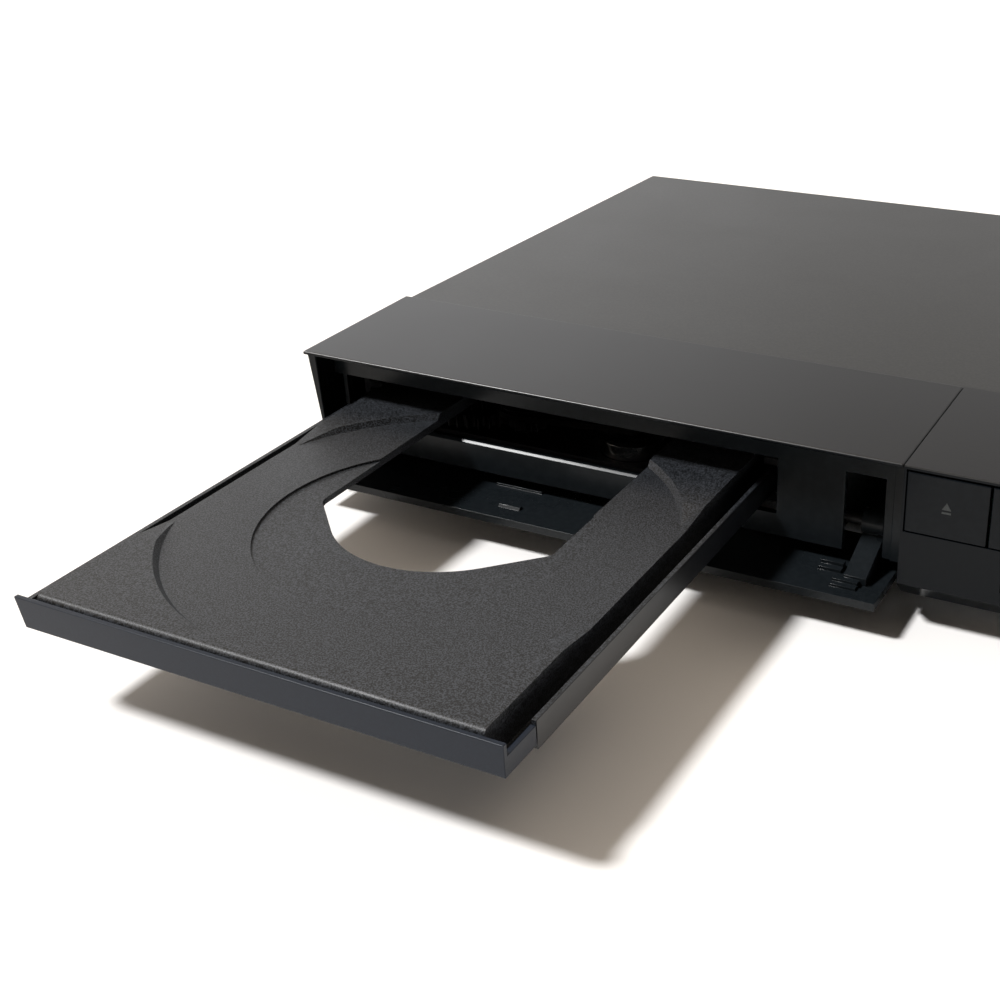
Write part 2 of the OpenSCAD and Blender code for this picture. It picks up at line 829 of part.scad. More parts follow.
// A point on the spring's wire: step i along the coil, j round the wire
function spring_point(i, j) =
    let (a = 360 * spring_turns * i / spring_steps, b = 360 / spring_sides * j,
        r = spring_r + spring_wire * cos(b))
    [spring_x0 + (spring_x1 - spring_x0) * i / spring_steps + spring_wire * sin(b), r * cos(a), r * sin(a)];

module door_spring() {
    sides = spring_sides;
    color("#2b2c2e") placed() translate([0, pivot_in, pivot_z]) polyhedron(
        [for (i = [0 : spring_steps], j = [0 : sides - 1]) spring_point(i, j)],
        concat([[for (j = [0 : sides - 1]) j]],
            [for (i = [0 : spring_steps - 1], j = [0 : sides - 1]) let (k = (j + 1) % sides)
                each [[sides * i + j, sides * (i + 1) + j, sides * (i + 1) + k],
                    [sides * i + j, sides * (i + 1) + k, sides * i + k]]],
            [[for (j = [sides - 1 : -1 : 0]) sides * spring_steps + j]]));
}

// The cut-out between the tray's arms, open at the rear
module tray_cutout() {
    t = cut_r * cos(45);
    shoulder = cut_cy - t + cut_half - t;
    corner = arc_points([cut_half - cut_round, shoulder + cut_round * tan(22.5)], cut_round, -45, 0);
    side = concat([[t, cut_cy - t]], corner, [[cut_half, tray_rear + eps]]);
    translate([cut_x, 0]) {
        translate([0, cut_cy]) circle(r = cut_r);
        polygon(concat(side, [for (i = [len(side) - 1 : -1 : 0]) [-side[i][0], side[i][1]]]));
    }
}

// A rail beside the deck: a web with a gutter's floor, and the outer wall that starts further back
module tray_rail(wall_front) {
    along_y(-deck_front, tray_rear) polygon([[deck_half - web_t, rail_low], [gutter_half, rail_low],
        [gutter_half, gutter_floor], [deck_half, gutter_floor], [deck_half, under_z + eps],
        [deck_half - web_t, under_z + eps]]);
    along_y(wall_front, tray_rear) polygon([[gutter_half - eps, rail_low], [rail_half, rail_low],
        [rail_half, rail_high], [rail_half - return_t, rail_high], [rail_half - return_t, gutter_floor],
        [gutter_half - eps, gutter_floor]]);
}

// The rack under the left arm, with a tooth beside the drive gear in the open tray
module rack() {
    half = pitch / 4 - tooth_play;
    at = gear_y - disc_y;
    count = floor((travel + 4 * pitch) / pitch);
    back = -(deck_half - web_t) - eps;
    first = at - count * pitch;
    translate([0, 0, rack_low]) linear_extrude(under_z - rack_low + eps) polygon(concat(
        [[back, first - pitch], [rack_root, first - pitch]],
        [for (i = [0 : count + 1], p = [[-1, 0], [-1, 1], [1, 1], [1, 0]])
            let (x = p[1] * (dedendum + addendum), w = half - (x - dedendum) * tan(20))
            [rack_root + x, first + i * pitch + p[0] * w]],
        [[rack_root, at + 2 * pitch - half], [back, at + 2 * pitch - half]]));
}

module disc_tray() {
    color("#303133") in_tray() difference() {
        union() {
            translate([0, 0, under_z]) linear_extrude(deck_z - under_z) difference() {
                translate([-deck_half, -deck_front]) square([2 * deck_half, deck_front + tray_rear]);
                tray_cutout();
            }
            tray_rail(lip_return + seam - lip_reach);
            mirror([1, 0, 0]) tray_rail(-deck_front);
            block([-deck_half, -deck_front, sill_z + 1], [deck_half, -deck_front + web_t, under_z + eps]);
            rack();
        }
        translate([0, 0, disc_floor])
            cylinder(r1 = disc_r, r2 = disc_r + disc_slope, h = disc_depth + eps / 10);
        translate([0, 0, small_floor]) cylinder(r = small_r, h = disc_depth + small_depth + eps);
        // Ramps where the recess runs out at both edges of the deck
        both_sides() along_x(deck_half - ramp_w, deck_half + eps) polygon([[-ramp_out, deck_z],
            [-ramp_in, disc_floor], [ramp_in, disc_floor], [ramp_out, deck_z],
            [ramp_out, deck_z + eps], [-ramp_out, deck_z + eps]]);
        // The deck's rounded front edge
        difference() {
            block([-deck_half - eps, -deck_front - eps, deck_z - deck_round],
                [deck_half + eps, -deck_front + deck_round, deck_z + eps]);
            translate([0, deck_round - deck_front, deck_z - deck_round])
                bar_x(deck_round, -deck_half - 1, deck_half + 1);
        }
    }
}

module tray_lip() {
    low = deck_z - lip_tall;
    top = deck_z - lip_drop;
    color("#33363b") in_tray() {
        along_y(-lip_reach, lip_t - lip_reach) polygon([[-rail_half, top], [-rail_half + lip_slant, low],
            [rail_half, low], [rail_half, top]]);
        // The return at the right end, and the tabs on the tray's front skirt
        block([rail_half - return_t, lip_t - lip_reach - eps, low],
            [rail_half, lip_return - lip_reach, deck_z - return_drop]);
        for (x = [-tab_pitch, 0, tab_pitch])
            block([x - tab_half, lip_t - lip_reach - eps, sill_z + 1.5],
                [x + tab_half, -deck_front, under_z - 1]);
    }
}

module loader_chassis() {
    color("#26272a") in_loader() {
        both_sides() {
            along_x(wall_in, wall_out) polygon([[loader_front, loader_low], [loader_front, bridge_z],
                [loader_back, bridge_z], [loader_back, loader_z], [floor_front, loader_z],
                    [floor_front, loader_low]]);
            // Guides under and over the tray's rail
            block([rail_half - guide_w, loader_front, guide_low - guide_t],
                [wall_in + eps, loader_back, guide_low]);
            for (y = [loader_front, spindle_y - guide_mid, spindle_y + guide_rear])
                block([rail_half - guide_w, y, rail_high + seam],
                    [wall_in + eps, y + guide_len, rail_high + seam + guide_t]);
            for (y = [floor_front + loader_foot_in, loader_back - loader_foot_in])
                translate([wall_in - loader_foot_r, y, pan_top])
                    cylinder(r = loader_foot_r, h = loader_rise + eps);
            // The hinge's ears
            difference() {
                block([barrel_out + seam, hinge_y - hinge_ear_r, loader_z],
                    [barrel_out + seam + hinge_ear_t, hinge_y + hinge_ear_d, hinge_z + hinge_ear_r]);
                translate([0, hinge_y, hinge_z])
                    bar_x(rod_r, barrel_out, barrel_out + seam + hinge_ear_t + eps);
            }
        }
        block([-wall_in - eps, hinge_y + hinge_ear_d - 1, loader_z],
            [wall_in + eps, hinge_y + hinge_ear_d + barrel_r, ring_low - 1]);
        block([-wall_in - eps, loader_back - loader_bar, loader_z],
            [wall_in + eps, loader_back, loader_z + loader_bar_h]);
        difference() {
            block([-wall_in - eps, floor_front, loader_z], [wall_in + eps, floor_back, floor_top]);
            translate([motor_x, motor_y, loader_z - eps]) cylinder(r = motor_r + seam, h = floor_t + 2 * eps);
        }
        translate([gear_x, gear_y, floor_top - eps]) {
            cylinder(r = post_r + post_foot, h = wheel_low - floor_top + eps - slack);
            cylinder(r = post_r, h = under_z - wheel_gap + slack - floor_top + eps);
        }
        translate([pulley_x, pulley_y, floor_top - eps]) {
            cylinder(r = small_post_r + post_foot, h = wheel_low - floor_top + eps - slack);
            cylinder(r = small_post_r, h = belt_low + belt_w + 2 * flange_t - floor_top + eps);
        }
    }
}

module hinge_pins() {
    color("#b9bcbf") in_loader() both_sides() translate([0, hinge_y, hinge_z])
        bar_x(rod_r, barrel_in + 1, barrel_out + seam + hinge_ear_t);
}

module clamp_bridge() {
    color("#8f9396") in_loader() difference() {
        block([-wall_out, spindle_y - bridge_half, bridge_z],
            [wall_out, spindle_y + bridge_half, bridge_z + bridge_t]);
        translate([0, spindle_y, bridge_z - eps])
            cylinder(r = puck_hole_r + puck_play, h = bridge_t + 2 * eps);
    }
}

module clamp_puck() {
    low = seat_z + seat_t;
    rim = bridge_z + bridge_t + slack;
    color("#1a1a1b") in_loader() translate([0, spindle_y, 0]) {
        translate([0, 0, low]) cylinder(r = puck_hole_r, h = rim - low + eps);
        translate([0, 0, rim]) cylinder(r = puck_r, h = puck_rim);
    }
}

module drive_gear() {
    color("#2e2f31") in_loader() translate([gear_x, gear_y, 0]) difference() {
        union() {
            translate([0, 0, wheel_low]) linear_extrude(wheel_t) rotate(train_angle) gear_outline(wheel_n);
            translate([0, 0, wheel_low + wheel_t - eps])
                linear_extrude(under_z - wheel_gap - wheel_low - wheel_t + eps)
                rotate(180 + 180 / pinion_n) gear_outline(pinion_n);
        }
        cylinder(r = post_r + slack, h = body_h);
    }
}

module pulley_gear() {
    color("#2e2f31") in_loader() translate([pulley_x, pulley_y, 0]) difference() {
        union() {
            translate([0, 0, wheel_low]) linear_extrude(belt_low - wheel_low)
                rotate(train_angle + 180 + 180 / pulley_n) gear_outline(pulley_n);
            translate([0, 0, belt_low - eps]) cylinder(r = pulley_r, h = belt_w + 2 * eps);
            translate([0, 0, belt_low + belt_w + eps]) cylinder(r = pulley_r + seam, h = flange_t);
        }
        cylinder(r = small_post_r + slack, h = body_h);
    }
}

module motor_pulley() {
    low = flange_t;
    color("#2e2f31") in_loader() translate([motor_x, motor_y, belt_low - low]) difference() {
        union() {
            cylinder(r = motor_pulley_r, h = belt_w + 2 * low);
            translate([0, 0, belt_w + low + seam]) cylinder(r = motor_pulley_r + belt_t, h = flange_t);
        }
        translate([0, 0, -eps]) cylinder(r = shaft_r + slack, h = belt_w + 4 * low);
    }
}

module loading_belt() {
    color("#151515") in_loader() translate([pulley_x, pulley_y, belt_low + seam])
        linear_extrude(belt_w - 2 * seam) difference() {
            polygon(belt_points(seam + belt_t));
            polygon(belt_points(seam));
        }
}

module loading_motor() {
    color("#a5a8ab") in_loader() translate([motor_x, motor_y, 0]) {
        translate([0, 0, pan_top + seam]) cylinder(r = motor_r, h = motor_top - pan_top - seam);
        translate([0, 0, motor_top - eps]) cylinder(r = shaft_r, h = belt_w + 4 * flange_t);
    }
}

module traverse_frame() {
    color("#2b2c30") dropped() {
        difference() {
            block([-ring_half, ring_front, ring_low], [ring_half, ring_back, ring_low + ring_t]);
            block([-ring_half + ring_wall, ring_front + ring_end, ring_low - eps],
                [ring_half - ring_wall, ring_back - ring_end, ring_low + ring_t + eps]);
        }
        both_sides() difference() {
            union() {
                translate([0, hinge_y, hinge_z]) bar_x(barrel_r, barrel_in, barrel_out);
                block([barrel_in, ring_back - eps, ring_low], [barrel_out, hinge_y, ring_low + ring_t]);
            }
            translate([0, hinge_y, hinge_z]) bar_x(rod_r + slack, barrel_in - eps, barrel_out + eps);
        }
    }
}

// Where the damper bushes stand on the traverse's ring
bush_places = [for (x = [-1, 1], y = [ring_front + bush_front, ring_back - bush_back])
    [x * (ring_half - ring_wall / 2), y]];

module damper_bushes() {
    color("#141414") dropped()
        for (p = bush_places) translate([p[0], p[1], ring_low + ring_t]) cylinder(r = bush_r, h = bush_t);
}

module mech_deck() {
    edge = sheet / 2;
    color("#aeb2b5") dropped() {
        difference() {
            block([-ring_half + edge, ring_front + sheet, plate_z],
                [ring_half - edge, ring_back - sheet, plate_top]);
            block([-window_left, rod_front, plate_z - eps],
                [window_right, rod_back - holder_t, plate_top + eps]);
            translate([0, spindle_y, plate_z - eps]) cylinder(r = spindle_neck + slack, h = 2 * sheet);
        }
        difference() {
            for (x = rod_x, y = [rod_front - holder_t, rod_back - holder_t])
                block([x - holder_half, y, rod_z - holder_half],
                    [x + holder_half, y + holder_t, plate_z + eps]);
            for (x = rod_x) translate([x, 0, rod_z]) bar_y(rod_r, rod_front - holder_t - eps, rod_back + eps);
        }
    }
}

module spindle_motor() {
    color("#8d9093") dropped() translate([0, spindle_y, 0]) {
        translate([0, 0, plate_z - spindle_h]) cylinder(r = spindle_r, h = spindle_h);
        translate([0, 0, plate_z - eps]) cylinder(r = spindle_neck, h = sheet + flange_t);
        translate([0, 0, plate_top]) cylinder(r = spindle_shaft, h = seat_z - plate_top);
    }
}

module turntable() {
    low = plate_top + 1;
    color("#1c1c1d") dropped() translate([0, spindle_y, 0]) difference() {
        union() {
            translate([0, 0, low]) cylinder(r = seat_r - seat_t, h = seat_z - seat_t - low);
            translate([0, 0, seat_z - seat_t - eps]) cylinder(r = seat_r, h = seat_t + eps);
            translate([0, 0, seat_z - eps]) cylinder(r1 = cone_r, r2 = cone_tip, h = cone_h + eps);
        }
        translate([0, 0, low - eps]) cylinder(r = spindle_shaft + slack, h = seat_z + slack - low + eps);
    }
}

module guide_rods() {
    color("#d5d7d9") dropped()
        for (x = rod_x) translate([x, 0, rod_z]) bar_y(rod_r, rod_front - holder_t, rod_back);
}

module pickup() {
    low = rod_z - holder_half;
    color("#4a4d52") dropped() difference() {
        union() {
            block([-sled_left, lens_y - sled_front, low], [sled_right, lens_y + sled_back, plate_z - seam]);
            block([-head_left, lens_y - sled_front + 1, low],
                [head_right, lens_y + sled_back - holder_t, plate_top + head_h]);
            // The finger on the feed screw
            block([sled_right - eps, lens_y - finger_t, rod_z - finger_t / 2],
                [screw_x - screw_r - slack, lens_y + finger_l, rod_z + finger_t / 2]);
        }
        for (x = rod_x) translate([x, 0, rod_z])
            bar_y(rod_r + slack, lens_y - 2 * sled_front, lens_y + 2 * sled_back);
        translate([0, lens_y, plate_top + lens_in]) cylinder(r = lens_r + slack, h = head_h);
    }
}

module pickup_lens() {
    color("#5b6fa8") dropped() translate([0, lens_y, plate_top + lens_in]) {
        cylinder(r = lens_r, h = lens_t);
        translate([0, 0, lens_t]) cylinder(r1 = 0.8 * lens_r, r2 = 0.5 * lens_r, h = lens_dome);
    }
}

module feed_screw() {
    threads = floor((rod_back - rod_front - 2 * lead) / lead);
    color("#c7c9cb") dropped() translate([screw_x, 0, rod_z]) {
        bar_y(screw_r, rod_front + 1, rod_back - 1);
        for (i = [0 : threads]) translate([0, rod_front + (i + 1) * lead, 0])
            bar_y(screw_r + thread_h, 0, thread_w);
    }
}

module feed_motor() {
    color("#9a9da0") dropped() translate([screw_x, 0, rod_z]) difference() {
        union() {
            bar_y(feed_r, rod_front - feed_l, rod_front);
            block([-feed_foot, rod_front - feed_l + 2, 0], [feed_foot, rod_front - holder_t - 1, rod_drop]);
        }
        bar_y(shaft_r, rod_front - 2, rod_front + eps);
    }
}

// A button tile with a stem towards its switch
module tile(x) {
    placed() {
        block([x, 0, tile_low], [x + tile_w, wall, tile_top]);
        translate([x + tile_w / 2, 0, window_z]) bar_y(stem_r, wall - eps, stem_end);
    }
}

module eject_button() { color("#2a2b2e") tile(tile_x); }

module power_button() { color("#2a2b2e") tile(power_x); }

module indicator_window() {
    color("#191a1c") placed() block([window_x, 0, window_z - window_h / 2],
        [window_x + window_w, wall, window_z + window_h / 2]);
}

module indicator_led() {
    color("#d8dee6") placed() translate([window_x + window_w / 2, 0, window_z]) {
        bar_y(led_r, fboard_y - led_h, fboard_y);
        bar_y(led_r + seam, fboard_y - led_h / 4, fboard_y);
    }
}

module usb_socket() {
    inner_w = usb_w / 2 - usb_rim;
    inner_h = usb_h / 2 - usb_rim;
    color("#b4b7ba") placed() translate([usb_x, 0, usb_z]) difference() {
        block([-usb_w / 2, seam, -usb_h / 2], [usb_w / 2, usb_d, usb_h / 2]);
        block([-inner_w, 0, -inner_h], [inner_w, usb_d - usb_rim, inner_h]);
    }
}

module usb_tongue() {
    color("#202124") placed() translate([usb_x, 0, usb_z])
        block([-usb_w / 2 + tongue_in, tongue_front, tongue_up],
            [usb_w / 2 - tongue_in, usb_d - usb_rim, usb_h / 2 - tongue_up]);
}

module front_board() {
    color("#1f4d33") placed() difference() {
        block([fboard_left, fboard_y, fboard_low], [fboard_right, fboard_y + board_t, fboard_top]);
        block([usb_x - usb_w / 2 - seam, fboard_y - eps, usb_z - usb_h / 2 - seam],
            [usb_x + usb_w / 2 + seam, fboard_y + board_t + eps, usb_z + usb_h / 2 + seam]);
    }
}

module tact_switches() {
    color("#4b4b4e") placed()
        for (x = [tile_x, power_x]) translate([x + tile_w / 2, 0, window_z]) {
            block([-switch_half, fboard_y - switch_t, -switch_half], [switch_half, fboard_y, switch_half]);
            bar_y(plunger_r, plunger_y, fboard_y - switch_t + eps);
        }
}

module front_ribbon() {
    rise = board_top + ribbon_rise;
    from = fboard_y + board_t;
    to = board_front + ribbon_end;
    color("#d9d6cf") placed() along_x(ribbon_x, ribbon_x + ribbon_w)
        polygon([[from, rise], [from, rise + ribbon_t], [to + ribbon_t, rise + ribbon_t],
            [to + ribbon_t, board_top], [to, board_top], [to, rise]]);
}

module main_board() {
    color("#1f4d33") placed() block([board_left, board_front, board_z], [board_right, board_back, board_top]);
}

module heat_sink() {
    step = (sink_side - fin_t) / (fin_n - 1);
    color("#9fa3a6") placed() translate([board_left + 0.43 * board_w, board_front + board_d / 3, board_top]) {
        block([0, 0, 0], [sink_side, sink_side, sink_base]);
        for (i = [0 : fin_n - 1])
            block([i * step, 0, sink_base - eps], [i * step + fin_t, sink_side, sink_h]);
    }
}

module hdmi_socket() {
    side = hdmi_half - hdmi_rim;
    top = hdmi_h - hdmi_rim;
    color("#b4b7ba") placed() translate([hdmi_x, 0, board_top]) difference() {
        block([-hdmi_half, socket_back - hdmi_d, 0], [hdmi_half, socket_back, hdmi_h]);
        along_y(socket_back - hdmi_hole_d, socket_back + eps)
            polygon([[-side, top], [-side, hdmi_rim + hdmi_slant],
            [hdmi_slant - side, hdmi_rim], [side - hdmi_slant, hdmi_rim], [side, hdmi_rim + hdmi_slant],
                [side, top]]);
    }
}

module lan_socket() {
    color("#b4b7ba") placed() translate([lan_x, 0, board_top]) difference() {
        block([-lan_half, socket_back - lan_d, 0], [lan_half, socket_back, lan_h]);
        block([-lan_hole, socket_back - lan_hole_d, lan_hole_low],
            [lan_hole, socket_back + eps, lan_hole_top]);
    }
}

module coax_jack() {
    color("#c77f2f") placed() translate([coax_x, 0, 0]) difference() {
        union() {
            block([-coax_half, panel_y - coax_d, board_top],
                [coax_half, panel_y - seam, socket_z + coax_half]);
            translate([0, 0, socket_z]) bar_y(coax_r, panel_y - 1, rear_reach);
        }
        translate([0, 0, socket_z]) bar_y(coax_hole, panel_y - coax_d + holder_t, rear_reach + eps);
    }
}

module dc_jack() {
    color("#1d1d1e") placed() translate([dc_x, 0, 0]) difference() {
        union() {
            block([-dc_half, panel_y - dc_d, board_top], [dc_half, panel_y - seam, socket_z + dc_half]);
            translate([0, 0, socket_z]) bar_y(dc_r, panel_y - 1, socket_back);
        }
        translate([0, 0, socket_z]) bar_y(dc_hole, panel_y - dc_hole_d, socket_back + eps);
    }
}

module dc_pin() {
    color("#b89a5a") placed() translate([dc_x, 0, socket_z])
        bar_y(dc_pin_r, panel_y - dc_hole_d, socket_back - 1);
}

top_cover();
bay_shell();
control_shell();
base_pan();
rear_panel();
feet();
cover_screws();
rear_screws();
front_frame();
disc_door();
door_pins();
door_spring();
disc_tray();
tray_lip();
loader_chassis();
hinge_pins();
clamp_bridge();
clamp_puck();
drive_gear();
pulley_gear();
motor_pulley();
loading_belt();
loading_motor();
traverse_frame();
damper_bushes();
mech_deck();
spindle_motor();
turntable();
guide_rods();
pickup();
pickup_lens();
feed_screw();
feed_motor();
eject_button();
power_button();
indicator_window();
indicator_led();
usb_socket();
usb_tongue();
front_board();
tact_switches();
front_ribbon();
main_board();
heat_sink();
hdmi_socket();
lan_socket();
coax_jack();
dc_jack();
dc_pin();
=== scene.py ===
"""Dresses a compact optical disc player, with its tray out and its front door dropped, in a white studio."""

import logging
import math
from dataclasses import dataclass, replace
from enum import Enum
from typing import Any, Callable

import bmesh
import bpy
from mathutils import Matrix, Vector

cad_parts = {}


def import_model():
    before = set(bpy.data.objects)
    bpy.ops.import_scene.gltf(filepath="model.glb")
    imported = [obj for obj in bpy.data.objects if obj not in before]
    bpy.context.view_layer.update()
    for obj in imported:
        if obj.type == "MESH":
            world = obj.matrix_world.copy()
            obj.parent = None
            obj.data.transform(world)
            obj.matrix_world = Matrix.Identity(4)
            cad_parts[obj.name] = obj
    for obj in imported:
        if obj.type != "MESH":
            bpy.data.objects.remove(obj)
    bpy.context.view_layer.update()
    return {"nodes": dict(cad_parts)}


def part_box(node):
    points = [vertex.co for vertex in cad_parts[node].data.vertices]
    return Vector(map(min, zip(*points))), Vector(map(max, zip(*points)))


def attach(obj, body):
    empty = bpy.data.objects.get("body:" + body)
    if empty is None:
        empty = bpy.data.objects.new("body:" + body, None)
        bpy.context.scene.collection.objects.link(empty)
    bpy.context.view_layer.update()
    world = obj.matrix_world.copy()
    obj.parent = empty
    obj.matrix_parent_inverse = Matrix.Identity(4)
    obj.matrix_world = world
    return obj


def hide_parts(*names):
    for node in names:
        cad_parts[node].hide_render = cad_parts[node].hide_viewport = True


Point = tuple[float, float, float]
Span = tuple[float, float]
Places = dict[str, tuple[Vector, Point]]

LOG = logging.getLogger("disc_player")
MM = 0.001
UP: Point = (0.0, 0.0, 1.0)
# Most of a noise texture's values lie between these
NOISE_SPAN: Span = (0.3, 0.7)
# Edges that turn by more than this many degrees are rounded, and past the second one shaded as edges
ROUND_PAST = 38.0
SHARP_PAST = 40.0
# CAD corners nearer than this, in millimetres, are merged, and faces within this many degrees made one
WELD_MM = 0.002
FLAT_WITHIN = 0.4
# A face counts as facing an axis when its normal reaches this far along it
FACING = 0.9


class Body(Enum):
    """The bodies that new pieces ride on."""

    CASING = "casing"
    EJECT = "eject"
    POWER = "power"


class Slot(Enum):
    """The record's material slots named for the new pieces; each fit carries one, and nothing here reads it.
    """

    DARK = "dark_plastic"
    SCREW = "screw_steel"
    BRASS = "brass"
    ALLOY = "alloy"
    CABLE = "cable"


def linear(colour: str) -> tuple[float, float, float, float]:
    """Turns an sRGB hex colour into linear light.

    Args:
        colour: Six hex digits after a hash.

    Returns:
        Red, green, blue and an opaque alpha.
    """
    levels = [int(colour[i:i + 2], 16) / 255 for i in (1, 3, 5)]
    light = [c / 12.92 if c <= 0.04045 else ((c + 0.055) / 1.055) ** 2.4 for c in levels]
    return (light[0], light[1], light[2], 1.0)


def feed(tree: bpy.types.NodeTree, node: Any, feeds: dict[Any, Any]) -> None:
    """Feeds some of a node's inputs.

    Args:
        tree: The node's tree.
        node: The node.
        feeds: What feeds each input, by the input's name or number: an output socket, or a plain value.
    """
    for key, source in feeds.items():
        if isinstance(source, bpy.types.NodeSocket):
            tree.links.new(source, node.inputs[key])
        else:
            node.inputs[key].default_value = source


def add(tree: bpy.types.NodeTree, kind: str, feeds: dict[Any, Any] | None = None, **settings: Any) -> Any:
    """Adds one shader node with its settings and links.

    Args:
        tree: The node tree that takes it.
        kind: The node's type, such as TexNoise.
        feeds: What feeds its inputs, as feed takes it.
        settings: Its properties, or the values of its inputs, with _ for a space.

    Returns:
        The new node.
    """
    node = tree.nodes.new("ShaderNode" + kind)
    for name, value in settings.items():
        if hasattr(node, name):
            setattr(node, name, value)
        else:
            node.inputs[name.replace("_", " ")].default_value = value
    feed(tree, node, feeds or {})
    return node


def per_metre(size_mm: float) -> float:
    """Gives the texture scale whose features are about this many millimetres."""
    return 1.0 / (size_mm * MM)


@dataclass(frozen=True)
class Finish:
    """A real surface, as a material whose nodes the subclasses add."""

    name: str
    colour: str
    roughness: float
    ior: float = 1.5
    metallic: float = 0.0

    def material(self) -> bpy.types.Material:
        """Makes the material, or gives the one that is there already.

        Returns:
            The finished material.
        """
        made = bpy.data.materials.get(self.name)
        if made:
            return made
        made = bpy.data.materials.new(self.name)
        made.use_nodes = True
        tree = made.node_tree
        tree.nodes.clear()
        shader = add(tree, "BsdfPrincipled", Base_Color=linear(self.colour), Roughness=self.roughness,
                     Metallic=self.metallic, IOR=self.ior)
        add(tree, "OutputMaterial", {"Surface": shader.outputs["BSDF"]})
        self.shade(tree, shader, add(tree, "TexCoord").outputs["Object"])
        made.diffuse_color = linear(self.colour)
        return made

    def shade(self, tree: bpy.types.NodeTree, shader: Any, place: Any) -> None:
        """Adds the finish's own nodes.

        Args:
            tree: The material's nodes.
            shader: Its main shader.
            place: The output that gives each point's place on the piece.
        """
        raise NotImplementedError

    def vary(self, tree: bpy.types.NodeTree, shader: Any, factor: Any, low: str, high: str,
             rough: Span | None = None) -> None:
        """Lets one factor lead the colour, and the roughness too where its ends are given.

        Args:
            tree: The material's nodes.
            shader: Its main shader.
            factor: The output that leads, from 0 to 1.
            low: The colour where it is 0.
            high: The colour where it is 1.
            rough: The roughness at 0 and at 1.
        """
        mixed = add(tree, "Mix", {0: factor, 6: linear(low), 7: linear(high)}, data_type="RGBA")
        feed(tree, shader, {"Base Color": mixed.outputs[2]})
        if rough:
            spread = add(tree, "MapRange", {"Value": factor}, To_Min=rough[0], To_Max=rough[1])
            feed(tree, shader, {"Roughness": spread.outputs["Result"]})


@dataclass(frozen=True)
class Moulded(Finish):
    """Injection-moulded plastic: an even colour, with the mould's spark-eroded grain or polish on it."""

    # Colour of the grain's tips: a paler random tone, and painted glints where it is much paler
    speck_and_glint: str = "#2a2a2b"
    grain_mm: float = 0.6
    depth_mm: float = 0.02
    spread: float = 0.06
    cloud_mm: float = 24.0
    tips: Span = (0.42, 0.62)

    def textures(self, tree: bpy.types.NodeTree, place: Any) -> tuple[Any, Any]:
        """Adds the fine grain and the slow clouds.

        Args:
            tree: The material's nodes.
            place: The output that gives each point's place on the piece.

        Returns:
            The outputs of the grain and of the clouds.
        """
        grain = add(tree, "TexNoise", {"Vector": place}, Scale=per_metre(self.grain_mm), Detail=2.0,
                    Roughness=0.6)
        cloud = add(tree, "TexNoise", {"Vector": place}, Scale=per_metre(self.cloud_mm), Detail=3.0)
        return grain.outputs["Fac"], cloud.outputs["Fac"]

    def shade(self, tree: bpy.types.NodeTree, shader: Any, place: Any) -> None:
        """Adds the grain, with tips of paler tone and painted glints, and a slow drift of the gloss.

        Args:
            tree: The material's nodes.
            shader: Its main shader.
            place: The output that gives each point's place on the piece.
        """
        grain, cloud = self.textures(tree, place)
        # The grain's tips take the paler colour, which paints glints where it is much paler than the plastic
        tips = add(tree, "MapRange", {"Value": grain}, From_Min=self.tips[0], From_Max=self.tips[1])
        self.vary(tree, shader, tips.outputs["Result"], self.colour, self.speck_and_glint)
        gloss = add(tree, "MapRange", {"Value": cloud}, From_Min=NOISE_SPAN[0], From_Max=NOISE_SPAN[1],
                    To_Min=self.roughness - self.spread / 2, To_Max=self.roughness + self.spread / 2)
        bump = add(tree, "Bump", {"Height": grain}, Strength=1.0, Distance=self.depth_mm * MM)
        feed(tree, shader, {"Roughness": gloss.outputs["Result"], "Normal": bump.outputs["Normal"]})


@dataclass(frozen=True)
class SmoothSided(Moulded):
    """A grained moulding whose outer side walls slid along bare steel in the mould, and came out smooth."""

    wall_colour: str = "#16181b"
    wall_rough: float = 0.28
    wall_mm: float = 0.3
    walls: Span = (0.0, 0.0)

    def shade(self, tree: bpy.types.NodeTree, shader: Any, place: Any) -> None:
        """Adds the grain, and takes it off again at the two walls.

        Args:
            tree: The material's nodes.
            shader: Its main shader.
            place: The output that gives each point's place on the piece.
        """
        super().shade(tree, shader, place)
        split = add(tree, "SeparateXYZ", {0: place})
        middle, half = sum(self.walls) / 2, (self.walls[1] - self.walls[0]) / 2
        off = add(tree, "Math", {0: split.outputs["X"], 1: middle}, operation="SUBTRACT")
        away = add(tree, "Math", {0: off.outputs[0]}, operation="ABSOLUTE")
        side = add(tree, "MapRange", {"Value": away.outputs[0]}, From_Min=half - self.wall_mm * MM,
                   From_Max=half - self.wall_mm / 2 * MM).outputs["Result"]
        grained = {name: shader.inputs[name].links[0].from_socket for name in ("Base Color", "Roughness")}
        colour = add(tree, "Mix", {0: side, 6: grained["Base Color"], 7: linear(self.wall_colour)},
                     data_type="RGBA")
        rough = add(tree, "Mix", {0: side, 2: grained["Roughness"], 3: self.wall_rough})
        feed(tree, shader, {"Base Color": colour.outputs[2], "Roughness": rough.outputs[0]})
        flat = add(tree, "MapRange", {"Value": side}, To_Min=1.0, To_Max=0.0)
        bump = shader.inputs["Normal"].links[0].from_node
        feed(tree, bump, {"Strength": flat.outputs["Result"]})


